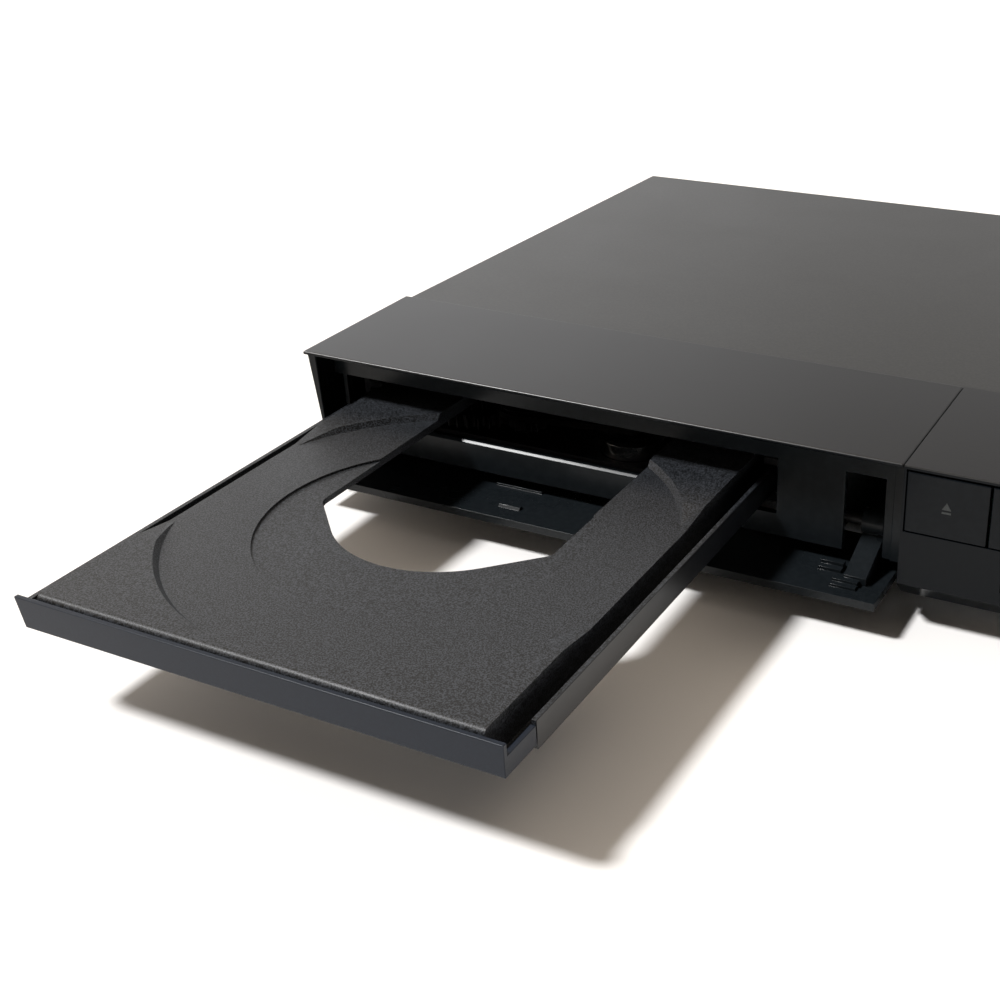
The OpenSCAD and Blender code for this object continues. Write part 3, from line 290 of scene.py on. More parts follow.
@dataclass(frozen=True)
class TwoTone(Moulded):
    """A moulding with a satin top and a polished front, parted at a height, as one tool makes both."""

    level_mm: float = 42.6
    blend_mm: float = 0.05
    front_colour: str = "#0b0f13"
    front_rough: float = 0.2
    front_ior: float = 1.23

    def shade(self, tree: bpy.types.NodeTree, shader: Any, place: Any) -> None:
        """Adds the grained top above the level and the polished rest below it.

        Args:
            tree: The material's nodes.
            shader: Its main shader.
            place: The output that gives each point's place on the piece.
        """
        split = add(tree, "SeparateXYZ", {0: place})
        low, high = (self.level_mm - self.blend_mm) * MM, (self.level_mm + self.blend_mm) * MM
        top = add(tree, "MapRange", {"Value": split.outputs["Z"]}, From_Min=low,
                  From_Max=high).outputs["Result"]
        index = add(tree, "MapRange", {"Value": top}, To_Min=self.front_ior, To_Max=self.ior)
        grain, cloud = self.textures(tree, place)
        self.vary(tree, shader, top, self.front_colour, self.colour, (self.front_rough, self.roughness))
        drift = add(tree, "MapRange", {"Value": cloud}, To_Min=-self.spread, To_Max=self.spread)
        rough = shader.inputs["Roughness"].links[0].from_socket
        total = add(tree, "Math", {0: rough, 1: drift.outputs["Result"]}, operation="ADD")
        height = add(tree, "Math", {0: grain, 1: top}, operation="MULTIPLY")
        bump = add(tree, "Bump", {"Height": height.outputs[0]}, Strength=1.0, Distance=self.depth_mm * MM)
        feed(tree, shader, {"IOR": index.outputs["Result"], "Roughness": total.outputs[0],
                            "Normal": bump.outputs["Normal"]})


@dataclass(frozen=True)
class PowderCoat(Finish):
    """Powder coat on sheet steel: a melted film with fine orange peel and a dusting of paler grains."""

    fleck: str = "#4a4a48"
    fleck_span: Span = (0.4, 0.8)
    peel_mm: float = 0.7
    depth_mm: float = 0.012
    touch_mm: float = 38.0
    touch: float = 0.012

    def shade(self, tree: bpy.types.NodeTree, shader: Any, place: Any) -> None:
        """Adds the orange peel, the flecks and the handling marks.

        Args:
            tree: The material's nodes.
            shader: Its main shader.
            place: The output that gives each point's place on the piece.
        """
        peel = add(tree, "TexNoise", {"Vector": place}, Scale=per_metre(self.peel_mm), Detail=3.0,
                   Roughness=0.65)
        marks = add(tree, "TexNoise", {"Vector": place}, Scale=per_metre(self.touch_mm), Detail=4.0,
                    Distortion=0.6)
        fleck = add(tree, "MapRange", {"Value": peel.outputs["Fac"]}, From_Min=self.fleck_span[0],
                    From_Max=self.fleck_span[1])
        self.vary(tree, shader, fleck.outputs["Result"], self.colour, self.fleck)
        rough = add(tree, "MapRange", {"Value": marks.outputs["Fac"]}, From_Min=NOISE_SPAN[0],
                    From_Max=NOISE_SPAN[1], To_Min=self.roughness - self.touch,
                    To_Max=self.roughness + self.touch)
        bump = add(tree, "Bump", {"Height": peel.outputs["Fac"]}, Strength=1.0, Distance=self.depth_mm * MM)
        feed(tree, shader, {"Roughness": rough.outputs["Result"], "Normal": bump.outputs["Normal"]})


@dataclass(frozen=True)
class Metal(Finish):
    """Bare or plated metal: drawn, turned or rolled, with its lines along one axis."""

    shade_to: str = "#8a8d90"
    tone_span: Span = (0.1, 0.45)
    line_mm: float = 0.25
    stretch: Point = (0.04, 1.0, 1.0)
    depth_mm: float = 0.003
    cloud_mm: float = 9.0
    rough_span: Span = (-0.06, 0.08)
    metallic: float = 1.0

    def shade(self, tree: bpy.types.NodeTree, shader: Any, place: Any) -> None:
        """Adds the working lines and a slow drift of tone.

        Args:
            tree: The material's nodes.
            shader: Its main shader.
            place: The output that gives each point's place on the piece.
        """
        turned = add(tree, "Mapping", {"Vector": place}, Scale=self.stretch)
        lines = add(tree, "TexNoise", {"Vector": turned.outputs[0]}, Scale=per_metre(self.line_mm),
                    Detail=3.0)
        cloud = add(tree, "TexNoise", {"Vector": place}, Scale=per_metre(self.cloud_mm), Detail=2.0)
        blend = add(tree, "Math", {0: lines.outputs["Fac"], 1: cloud.outputs["Fac"]}, operation="MULTIPLY")
        tone = add(tree, "MapRange", {"Value": blend.outputs[0]}, From_Min=self.tone_span[0],
                   From_Max=self.tone_span[1])
        self.vary(tree, shader, tone.outputs["Result"], self.colour, self.shade_to,
                  (self.roughness + self.rough_span[0], self.roughness + self.rough_span[1]))
        bump = add(tree, "Bump", {"Height": lines.outputs["Fac"]}, Strength=1.0, Distance=self.depth_mm * MM)
        feed(tree, shader, {"Normal": bump.outputs["Normal"]})


@dataclass(frozen=True)
class CircuitBoard(Finish):
    """Glass-fibre board under green solder mask: the copper shows as a paler net of tracks."""

    track: str = "#2f7a4c"
    track_mm: float = 0.35
    track_rough: float = 0.1
    pitch_mm: float = 2.4
    run_mm: float = 7.2
    weave_mm: float = 0.4
    depth_mm: float = 0.03

    def shade(self, tree: bpy.types.NodeTree, shader: Any, place: Any) -> None:
        """Adds square-cornered tracks with their slight height, on boards that lie flat or stand.

        Args:
            tree: The material's nodes.
            shader: Its main shader.
            place: The output that gives each point's place on the piece.
        """
        split = add(tree, "SeparateXYZ", {0: place})
        along = add(tree, "Math", {0: split.outputs["Y"], 1: split.outputs["Z"]}, operation="ADD")
        flat = add(tree, "CombineXYZ", {"X": split.outputs["X"], "Y": along.outputs[0]})
        line = add(tree, "TexBrick", {"Vector": flat.outputs[0]}, offset=0.37, offset_frequency=3, squash=1.8,
                   squash_frequency=4, Scale=1.0, Mortar_Size=self.track_mm / 2 * MM, Mortar_Smooth=0.1,
                   Brick_Width=self.run_mm * MM, Row_Height=self.pitch_mm * MM)
        weave = add(tree, "TexNoise", {"Vector": place}, Scale=per_metre(self.weave_mm), Detail=1.0)
        self.vary(tree, shader, line.outputs["Fac"], self.colour, self.track,
                  (self.roughness, self.roughness - self.track_rough))
        height = add(tree, "Math", {0: line.outputs["Fac"], 1: weave.outputs["Fac"]}, operation="ADD")
        bump = add(tree, "Bump", {"Height": height.outputs[0]}, Strength=0.6, Distance=self.depth_mm * MM)
        feed(tree, shader, {"Normal": bump.outputs["Normal"]})


# Powder coat on the steel cover: a dull film, flecked close up, that turns pale towards grazing light
COVER = PowderCoat("powder_coated_steel", "#1f1f1e", 0.36, fleck="#333331")
# Satin ABS on the bezel's roof, polished ABS on its front: grey under the lights on top, near black in front
BEZEL = TwoTone("satin_and_polished_abs", "#131314", 0.32, grain_mm=0.55, depth_mm=0.012, spread=0.02)
# Satin black ABS: the frame gives back the floor only as a soft glow
FRAME = Moulded("satin_black_abs", "#171b1e", 0.24, ior=1.25, speck_and_glint="#1a1e21", grain_mm=3.0, depth_mm=0.002,
                spread=0.04)
# The same ABS, less polished, on the door's inner face: the gloss drifts with the mould's release marks
DOOR = Moulded("semi_gloss_black_abs", "#15191c", 0.3, ior=1.3, speck_and_glint="#191d20", grain_mm=1.2, depth_mm=0.002,
               spread=0.12, cloud_mm=14.0)
# Spark-eroded ABS of the tray: each grain's small highlight painted as a pale tip; drawn 0.36 mm so that it
# shows
TRAY = SmoothSided("spark_eroded_abs", "#020304", 0.42, ior=1.38, speck_and_glint="#3c3f44", grain_mm=0.36,
                   depth_mm=0.05)
# Fine satin ABS on the tray's lip: an even sheen with a blue cast
LIP = Moulded("satin_blue_black_abs", "#121a26", 0.3, ior=1.32, speck_and_glint="#151e2a", grain_mm=0.5, depth_mm=0.006,
              spread=0.05)
# Dull black polystyrene inside: hardly a highlight, so it falls back into the shade
INNER = Moulded("dull_black_polystyrene", "#26272a", 0.5, ior=1.4, speck_and_glint="#2c2d30", grain_mm=0.5,
                depth_mm=0.01)
# Black acetal of the gears: a waxy half sheen on the teeth
ACETAL = Moulded("black_acetal", "#131314", 0.38, ior=1.4, speck_and_glint="#1a1a1b", grain_mm=1.0, depth_mm=0.004)
# Buttons in the panel's own polished ABS: they show only by the gaps round them
TILE = Moulded("polished_button_abs", "#0b0f13", 0.2, ior=1.23, speck_and_glint="#0e1216", grain_mm=2.0, depth_mm=0.003,
               spread=0.05)
# Soft rubber: no gloss, and a dusty bloom
RUBBER = Moulded("moulded_rubber", "#141414", 0.75, speck_and_glint="#232323", grain_mm=0.8, depth_mm=0.03)
# Orange polypropylene of the audio jack: a clear colour with a soft moulded gloss
ORANGE = Moulded("orange_polypropylene", "#c4681f", 0.4, speck_and_glint="#cf7630", grain_mm=0.8, depth_mm=0.008)
# White polyester of the flat cable: pale, half dull and a little uneven
CABLE = Moulded("polyester_flat_cable", "#d2cec4", 0.45, speck_and_glint="#dcd8d0", grain_mm=1.27, depth_mm=0.02)
# Smoked acrylic: black and mirror smooth until something shines behind it
SMOKED = Moulded("smoked_acrylic", "#08080a", 0.06, ior=1.49, speck_and_glint="#0b0b0e", grain_mm=5.0, depth_mm=0.001)
# Coated glass of the lens, and the lamp's dome: a violet-blue glint
LENS = Moulded("coated_lens_glass", "#39457a", 0.05, ior=1.52, speck_and_glint="#4a5a96", grain_mm=2.0, depth_mm=0.001)
# Zinc plate on rolled steel: bluish and half bright, with faint lines along the roll
ZINC = Metal("zinc_plated_steel", "#a9adb0", 0.34, shade_to="#8f9498", line_mm=0.5, stretch=(1.0, 0.08, 1.0))
# Ground and polished steel: a bright highlight, drawn out a little
BRIGHT = Metal("polished_steel", "#c9cbcd", 0.2, shade_to="#b4b7ba")
# Blackened steel of the screws, the back panel and the door's spring: dark, with a faint metal glint
BLACKED = Metal("blackened_steel", "#1c1c1d", 0.42, shade_to="#262627", line_mm=0.6, stretch=(1.0, 1.0, 1.0),
                depth_mm=0.008, metallic=0.4)
# Turned brass: a warm glint that breaks up on the tool's lines
BRASS = Metal("turned_brass", "#b8934a", 0.26, shade_to="#a37f3c")
# Extruded aluminium: pale, with its sheen drawn along Y
ALLOY = Metal("extruded_aluminium", "#b3b6b8", 0.38, shade_to="#9ea2a5", stretch=(1.0, 0.05, 1.0))
# Green solder mask over copper: a deep green gloss with paler tracks under it
BOARD = CircuitBoard("solder_mask_on_fibreglass", "#12462c", 0.35)
# Ink of the button signs: dull, and only a little paler than the plastic
INK = Moulded("pad_printed_ink", "#262b2c", 0.5, speck_and_glint="#2e3334", grain_mm=0.3, depth_mm=0.004)


def only(obj: bpy.types.Object) -> None:
    """Selects one object alone and makes it active."""
    bpy.ops.object.select_all(action="DESELECT")
    obj.select_set(True)
    bpy.context.view_layer.objects.active = obj


def start(kind: str, name: str, **values: Any) -> bpy.types.Object:
    """Adds a primitive, selected alone.

    Args:
        kind: The primitive, such as cylinder.
        name: The new object's name.
        values: The operator's settings.

    Returns:
        The new object.
    """
    bpy.ops.object.select_all(action="DESELECT")
    getattr(bpy.ops.mesh, f"primitive_{kind}_add")(**values)
    made = bpy.context.object
    made.name = name
    return made


def pick(obj: bpy.types.Object, test: Callable[[Vector, Vector], bool]) -> None:
    """Goes into edit mode and selects some of a piece's faces.

    Args:
        obj: The piece.
        test: Says of a face's middle and normal whether it is selected.
    """
    if bpy.context.mode == "OBJECT":
        only(obj)
        bpy.ops.object.mode_set(mode="EDIT")
    bpy.ops.mesh.select_mode(type="FACE")
    bpy.ops.mesh.select_all(action="DESELECT")
    mesh = bmesh.from_edit_mesh(obj.data)
    for face in mesh.faces:
        face.select_set(test(face.calc_center_median(), face.normal))
    mesh.select_flush_mode()
    bmesh.update_edit_mesh(obj.data)


def pick_top(obj: bpy.types.Object) -> None:
    """Goes into edit mode and selects the faces that look up."""
    pick(obj, lambda middle, normal: normal.z > FACING)


def raise_faces(height_mm: float) -> None:
    """Extrudes the selected faces along Z."""
    bpy.ops.mesh.extrude_region_move(TRANSFORM_OT_translate={"value": (0.0, 0.0, height_mm * MM)})


def settle(obj: bpy.types.Object) -> None:
    """Puts a new piece's place, turn and size into its mesh."""
    only(obj)
    bpy.ops.object.transform_apply(location=True, rotation=True, scale=True)


def add_bevel(obj: bpy.types.Object, name: str, width_mm: float, segments: int, limit: str = "ANGLE") -> None:
    """Adds a rounding that stops where two roundings would meet.

    Args:
        obj: The object that gets it.
        name: The modifier's name.
        width_mm: The rounding's width.
        segments: Its steps.
        limit: What chooses its edges: their ANGLE or their WEIGHT.
    """
    bevel = obj.modifiers.new(name, "BEVEL")
    bevel.width = width_mm * MM
    bevel.segments = segments
    bevel.limit_method = limit
    bevel.angle_limit = math.radians(ROUND_PAST)
    bevel.use_clamp_overlap = True


def soften(obj: bpy.types.Object, width_mm: float) -> None:
    """Leaves edit mode, rounds a new piece's edges for good and shades it smooth.

    Args:
        obj: The new piece.
        width_mm: The rounding's width.
    """
    bpy.ops.object.mode_set(mode="OBJECT")
    only(obj)
    add_bevel(obj, "round", width_mm, segments=2)
    bpy.ops.object.modifier_apply(modifier="round")
    bpy.ops.object.shade_smooth_by_angle(angle=math.radians(SHARP_PAST))


def geometry_group(name: str) -> tuple[bpy.types.NodeTree, Any, Any]:
    """Starts a geometry node group that takes a mesh and gives one.

    Args:
        name: The group's name.

    Returns:
        The group, its input node and its output node.
    """
    group = bpy.data.node_groups.new(name, "GeometryNodeTree")
    for way in ("INPUT", "OUTPUT"):
        group.interface.new_socket("Geometry", in_out=way, socket_type="NodeSocketGeometry")
    return group, group.nodes.new("NodeGroupInput"), group.nodes.new("NodeGroupOutput")


def smooth_group() -> bpy.types.NodeTree:
    """Makes the node group that shades a mesh smooth except at sharp edges.

    Returns:
        The node group, always the same one.
    """
    name = "smooth_below_sharp"
    if name in bpy.data.node_groups:
        return bpy.data.node_groups[name]
    group, source, sink = geometry_group(name)
    make, link = group.nodes.new, group.links.new
    bare = make("GeometryNodeRemoveAttribute")
    bare.inputs["Name"].default_value = "custom_normal"
    faces, edges = make("GeometryNodeSetShadeSmooth"), make("GeometryNodeSetShadeSmooth")
    edges.domain = "EDGE"
    edges.inputs["Shade Smooth"].default_value = False
    test = make("FunctionNodeCompare")
    test.inputs[1].default_value = math.radians(SHARP_PAST)
    link(source.outputs[0], bare.inputs[0])
    link(bare.outputs[0], faces.inputs[0])
    link(faces.outputs[0], edges.inputs[0])
    link(make("GeometryNodeInputMeshEdgeAngle").outputs["Unsigned Angle"], test.inputs[0])
    link(test.outputs[0], edges.inputs["Selection"])
    link(edges.outputs[0], sink.inputs[0])
    return group


def round_rim(obj: bpy.types.Object, width_mm: float, slack_mm: float = 0.1) -> None:
    """Rounds a CAD node's upper front edge more than the rest, by a weight that a node group gives it.

    Args:
        obj: The CAD node's object.
        width_mm: The rounding's width.
        slack_mm: How far from the node's front and top the edge may lie.
    """
    low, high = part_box(obj.name)
    group, source, sink = geometry_group(f"mark_rim_{obj.name}")
    make, link = group.nodes.new, group.links.new
    store = make("GeometryNodeStoreNamedAttribute")
    store.data_type, store.domain = "FLOAT", "EDGE"
    store.inputs["Name"].default_value = "bevel_weight_edge"
    split = add(group, "SeparateXYZ", {0: make("GeometryNodeInputPosition").outputs[0]})
    front = add(group, "Math", {0: split.outputs["Y"], 1: low[1] + slack_mm * MM}, operation="LESS_THAN")
    top = add(group, "Math", {0: split.outputs["Z"], 1: high[2] - slack_mm * MM}, operation="GREATER_THAN")
    both = add(group, "Math", {0: front.outputs[0], 1: top.outputs[0]}, operation="MULTIPLY")
    link(both.outputs[0], next(s for s in store.inputs if s.name == "Value" and s.enabled))
    link(source.outputs[0], store.inputs["Geometry"])
    link(store.outputs[0], sink.inputs[0])
    obj.modifiers.new("mark_rim", "NODES").node_group = group
    add_bevel(obj, "rim", width_mm, segments=4, limit="WEIGHT")


def round_edges(obj: bpy.types.Object, width_mm: float, rim_mm: float) -> None:
    """Rounds a CAD node's edges with modifiers, and shades its curved faces smooth.

    Args:
        obj: The CAD node's object.
        width_mm: The rounding's width, or 0 for none.
        rim_mm: A wider rounding for the upper front edge, or 0 for none.
    """
    obj.modifiers.new("weld", "WELD").merge_threshold = WELD_MM * MM
    flat = obj.modifiers.new("flat", "DECIMATE")
    flat.decimate_type = "DISSOLVE"
    flat.angle_limit = math.radians(FLAT_WITHIN)
    if rim_mm:
        round_rim(obj, rim_mm)
    if width_mm:
        add_bevel(obj, "round", width_mm, segments=3)
    obj.modifiers.new("smooth", "NODES").node_group = smooth_group()
    weigh = obj.modifiers.new("weigh", "WEIGHTED_NORMAL")
    weigh.keep_sharp = True
    weigh.weight = 90


def paint(obj: bpy.types.Object, finish: Finish) -> None:
    """Gives an object one finish."""
    obj.data.materials.clear()
    obj.data.materials.append(finish.material())


def corners(node: str) -> tuple[Vector, Vector]:
    """Gives a CAD node's lowest and highest corner, in metres."""
    low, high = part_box(node)
    return Vector(low), Vector(high)


@dataclass
class Dressing:
    """How a CAD node is finished: its surface, and the widths of its rounded edges and rim in millimetres."""

    finish: Finish
    edge: float = 0.0
    rim: float = 0.0


@dataclass
class SubAssembly:
    """A group of CAD nodes that are dressed together."""

    nodes: dict[str, bpy.types.Object]

    def dressings(self) -> dict[str, Dressing]:
        """Names each node's dressing."""
        raise NotImplementedError

    def dress(self) -> None:
        """Paints the nodes and rounds their edges."""
        for name, dressing in self.dressings().items():
            paint(self.nodes[name], dressing.finish)
            round_edges(self.nodes[name], dressing.edge, dressing.rim)
            LOG.info("dressed %s in %s", name, dressing.finish.name)


@dataclass
class Casing(SubAssembly):
    """The cover, the bezel's two shells, the pan, the back panel, the feet and the screws."""

    def dressings(self) -> dict[str, Dressing]:
        """Names each node's dressing."""
        return {"top_cover": Dressing(COVER, 0.3), "bay_shell": Dressing(BEZEL, 0.5, rim=0.55),
                "control_shell": Dressing(BEZEL, 0.3), "base_pan": Dressing(ZINC, 0.1),
                "rear_panel": Dressing(BLACKED, 0.1), "feet": Dressing(RUBBER, 0.5),
                "cover_screws": Dressing(BLACKED, 0.2), "rear_screws": Dressing(BLACKED, 0.3)}


@dataclass
class DiscBay(SubAssembly):
    """The inner frame, the dropped door with its pins and spring, the tray and its lip."""

    def dressings(self) -> dict[str, Dressing]:
        """Names each node's dressing."""
        low, high = corners("disc_tray")
        tray = replace(TRAY, walls=(low.x, high.x))
        return {"front_frame": Dressing(FRAME, 0.4), "disc_door": Dressing(DOOR, 0.25),
                "door_pins": Dressing(BLACKED, 0.2), "door_spring": Dressing(BLACKED),
                "disc_tray": Dressing(tray, 0.3), "tray_lip": Dressing(LIP, 0.3)}


@dataclass
class DiscDrive(SubAssembly):
    """The loader, its gears and belt, and the traverse with the spindle and the pickup."""

    def dressings(self) -> dict[str, Dressing]:
        """Names each node's dressing."""
        inner = {name: Dressing(INNER, 0.2)
                 for name in ("loader_chassis", "traverse_frame", "clamp_puck", "turntable")}
        steel = {name: Dressing(BRIGHT, 0.15)
                 for name in ("hinge_pins", "loading_motor", "spindle_motor", "guide_rods", "feed_screw",
                              "feed_motor")}
        gears = {name: Dressing(ACETAL, 0.1) for name in ("drive_gear", "pulley_gear", "motor_pulley")}
        return {**inner, **steel, **gears, "clamp_bridge": Dressing(ZINC, 0.2),
                "mech_deck": Dressing(ZINC, 0.15), "loading_belt": Dressing(RUBBER, 0.1),
                "damper_bushes": Dressing(RUBBER, 0.3), "pickup": Dressing(ALLOY, 0.25),
                "pickup_lens": Dressing(LENS, 0.1)}


@dataclass
class Controls(SubAssembly):
    """The buttons, the indicator and what stands behind the button panel."""

    def dressings(self) -> dict[str, Dressing]:
        """Names each node's dressing."""
        return {"eject_button": Dressing(TILE, 0.25), "power_button": Dressing(TILE, 0.25),
                "indicator_window": Dressing(SMOKED, 0.15), "indicator_led": Dressing(LENS, 0.1),
                "usb_socket": Dressing(BRIGHT, 0.1), "usb_tongue": Dressing(INNER, 0.1),
                "front_board": Dressing(BOARD), "tact_switches": Dressing(INNER, 0.15),
                "front_ribbon": Dressing(CABLE)}


@dataclass
class Electronics(SubAssembly):
    """The main board, its heat sink and the sockets at the back."""

    def dressings(self) -> dict[str, Dressing]:
        """Names each node's dressing."""
        return {"main_board": Dressing(BOARD), "heat_sink": Dressing(ALLOY, 0.15),
                "hdmi_socket": Dressing(BRIGHT, 0.1), "lan_socket": Dressing(BRIGHT, 0.15),
                "coax_jack": Dressing(ORANGE, 0.3), "dc_jack": Dressing(INNER, 0.2),
                "dc_pin": Dressing(BRASS, 0.2)}


@dataclass(frozen=True)
class Fit:
    """What a new piece rides on, the record's slot for it, and its finish."""

    body: Body
    slot: Slot
    finish: Finish


# The ways in which new pieces are fitted to the casing
BLACK_SCREW = Fit(Body.CASING, Slot.SCREW, BLACKED)
GILT_CONTACT = Fit(Body.CASING, Slot.BRASS, BRASS)
BLACK_BLOCK = Fit(Body.CASING, Slot.DARK, INNER)
WHITE_PLUG = Fit(Body.CASING, Slot.CABLE, CABLE)
BARE_CAN = Fit(Body.CASING, Slot.ALLOY, ALLOY)


@dataclass
class Fittings:
    """Small pieces that the solids leave plain.

    Each is modelled at the origin, facing up, and copied to its places. Sizes are in millimetres.
    """

    step_share: float = 0.2
    rim_share: float = 0.08

    def build(self) -> None:
        """Makes the pieces and puts them in place."""
        raise NotImplementedError

    def put(self, model: bpy.types.Object, places: Places, fit: Fit, *stands_for: str) -> None:
        """Copies a model to its places, and takes the model away.

        Args:
            model: The piece as modelled.
            places: Under each copy's name, where its foot goes in metres, and where its top faces.
            fit: What the copies ride on and their finish.
            stands_for: The CAD nodes that they stand for.
        """
        for name, (spot, outward) in places.items():
            only(model)
            bpy.ops.object.duplicate()
            copy = bpy.context.object
            copy.name = name
            copy.rotation_mode = "QUATERNION"
            copy.rotation_quaternion = Vector(outward).to_track_quat("Z", "Y")
            copy.location = spot
            settle(copy)
            paint(copy, fit.finish)
            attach(copy, fit.body.value)
            if stands_for:
                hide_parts(*stands_for)
            LOG.info("placed %s on %s", name, fit.body.value)
        bpy.data.objects.remove(model)

    def row(self, name: str, spot: Vector, offsets: list[float], outward: Point) -> Places:
        """Names the places of a row of pieces along X.

        Args:
            name: What the pieces are called, before their number.
            spot: The row's middle, in metres.
            offsets: Each piece's distance from it.
            outward: Where their tops face.

        Returns:
            The places.
        """
        return {f"{name}_{i}": (spot + Vector((x * MM, 0, 0)), outward) for i, x in enumerate(offsets)}

    def bar(self, name: str, size: Point, edge: float) -> bpy.types.Object:
        """Moulds a bar with a raised step along its top and rounded edges.

        Args:
            name: The model's name.
            size: Its width, length and height.
            edge: The rounding of its edges.

        Returns:
            The bar, standing on the origin.
        """
        step = size[2] * self.step_share
        body = size[2] - step
        made = start("cube", name, size=1.0, location=(0, 0, body / 2 * MM),
                     scale=(size[0] * MM, size[1] * MM, body * MM))
        settle(made)
        pick_top(made)
        bpy.ops.mesh.inset(thickness=size[0] * self.rim_share * MM)
        raise_faces(step)
        soften(made, edge)
        return made

    def cut(self, made: bpy.types.Object, size: Point, middle: Point, turn: float = 0.0) -> None:
        """Cuts a block out of a model.

        Args:
            made: The model.
            size: The block's width, length and height.
            middle: Where its middle is.
            turn: Its turn about Z, in radians.
        """
        block = start("cube", "block", size=1.0, location=[c * MM for c in middle], rotation=(0, 0, turn),
                      scale=[s * MM for s in size])
        cutting = made.modifiers.new("cut", "BOOLEAN")
        cutting.operation, cutting.object, cutting.solver = "DIFFERENCE", block, "EXACT"
        only(made)
        bpy.ops.object.modifier_apply(modifier="cut")
        bpy.data.objects.remove(block)


@dataclass
class Screws(Fittings):
    """The cover's and the back panel's cross-head screws, in place of plain ones."""

    head_r: float = 2.8
    head_h: float = 1.2
    head_round: float = 0.45
    shank_r: float = 1.4
    shank: float = 3.4
    cross: Point = (2.9, 0.62, 1.5)
    smooth_below: float = 35.0

    def build(self) -> None:
        """Makes both kinds and puts them where the plain ones are."""
        low, high = corners("cover_screws")
        rows = (low.y + self.head_r * MM, high.y - self.head_r * MM)
        sides = [(side, y) for side in (-1, 1) for y in rows]
        reach, height = high.x - self.head_h * MM, (low.z + high.z) / 2
        places = {f"cover_screw_{i}": (Vector((side * reach, y, height)), (side, 0, 0))
                  for i, (side, y) in enumerate(sides)}
        self.put(self.screw("cover_model", self.head_r), places, BLACK_SCREW, "cover_screws")
        low, high = corners("rear_screws")
        radius = (high.z - low.z) / 2
        places = {f"rear_screw_{i}": (Vector((x, low.y, low.z + radius)), (0, 1, 0))
                  for i, x in enumerate((low.x + radius, 0.0, high.x - radius))}
        self.put(self.screw("rear_model", radius / MM), places, BLACK_SCREW, "rear_screws")

    def screw(self, name: str, radius: float) -> bpy.types.Object:
        """Turns a screw with a rounded head and cuts its cross recess.

        Args:
            name: The model's name.
            radius: The head's radius.

        Returns:
            The screw, its head's foot at the origin.
        """
        made = start("cylinder", name, vertices=40, radius=radius * MM, depth=self.head_h * MM,
                     location=(0, 0, self.head_h / 2 * MM))
        pick_top(made)
        bpy.ops.mesh.bevel(offset=self.head_round * MM, segments=4, affect="EDGES")
        pick(made, lambda middle, normal: normal.z < -FACING)
        bpy.ops.mesh.inset(thickness=(radius - self.shank_r) * MM)
        raise_faces(-self.shank)
        bpy.ops.object.mode_set(mode="OBJECT")
        for turn in (0.0, math.pi / 2):
            self.cut(made, self.cross, (0, 0, self.head_h), turn)
        bpy.ops.object.shade_smooth_by_angle(angle=math.radians(self.smooth_below))
        return made


@dataclass
class Signs(Fittings):
    """The usual open and power signs on the buttons, printed faintly."""

    mark_w: float = 2.2
    mark_up: float = 0.35
    bar_t: float = 0.5
    bar_gap: float = 0.5
    print_t: float = 0.03
    ring_r: float = 1.6
    ring_t: float = 0.38
    ring_gap: float = 0.55
    stroke: float = 1.5
    stroke_up: float = 1.2
    cut_reach: float = 10.0

    def build(self) -> None:
        """Prints each sign in the middle of its button."""
        signs = (("eject", self.open_sign, Body.EJECT), ("power", self.power_sign, Body.POWER))
        for name, draw, body in signs:
            low, high = corners(f"{name}_button")
            spot = Vector(((low.x + high.x) / 2, low.y, (low.z + high.z) / 2))
            self.put(draw(f"{name}_model"), {f"{name}_mark": (spot, (0, -1, 0))}, Fit(body, Slot.DARK, INK))

    def open_sign(self, name: str) -> bpy.types.Object:
        """Draws the open sign: a triangle over a bar.

        Args:
            name: The model's name.

        Returns:
            The sign, lying flat at the origin.
        """
        made = start("cylinder", name, vertices=3, radius=self.mark_w / math.sqrt(3) * MM,
                     depth=self.print_t * MM, location=(0, self.mark_up * MM, self.print_t / 2 * MM))
        settle(made)
        pick(made, lambda middle, normal: normal.y < -FACING)
        drop = (0.0, -(self.bar_t + self.bar_gap) * MM, 0.0)
        bpy.ops.mesh.extrude_region_move(TRANSFORM_OT_translate={"value": drop})
        bpy.ops.object.mode_set(mode="OBJECT")
        foot = min(v.co.y for v in made.data.vertices) / MM
        gap = (self.cut_reach, self.bar_gap, self.cut_reach)
        self.cut(made, gap, (0, foot + self.bar_t + self.bar_gap / 2, 0))
        return made

    def power_sign(self, name: str) -> bpy.types.Object:
        """Draws the power sign: a ring open at the top, and a stroke in the gap.

        Args:
            name: The model's name.

        Returns:
            The sign, lying flat at the origin.
        """
        ring = start("circle", name, vertices=48, radius=self.ring_r * MM, fill_type="NGON")
        pick(ring, lambda middle, normal: True)
        bpy.ops.mesh.inset(thickness=self.ring_t * MM)
        bpy.ops.mesh.delete(type="FACE")
        pick(ring, lambda middle, normal: middle.y > 0 and abs(middle.x) < self.ring_gap * MM)
        bpy.ops.mesh.delete(type="FACE")
        bpy.ops.mesh.primitive_plane_add(size=1.0, location=(0, self.stroke_up * MM, 0))
        bpy.ops.transform.resize(value=(self.ring_t * MM, self.stroke * MM, 1.0))
        pick(ring, lambda middle, normal: True)
        raise_faces(self.print_t)
        bpy.ops.mesh.select_all(action="SELECT")
        bpy.ops.mesh.normals_make_consistent(inside=False)
        bpy.ops.object.mode_set(mode="OBJECT")
        return ring


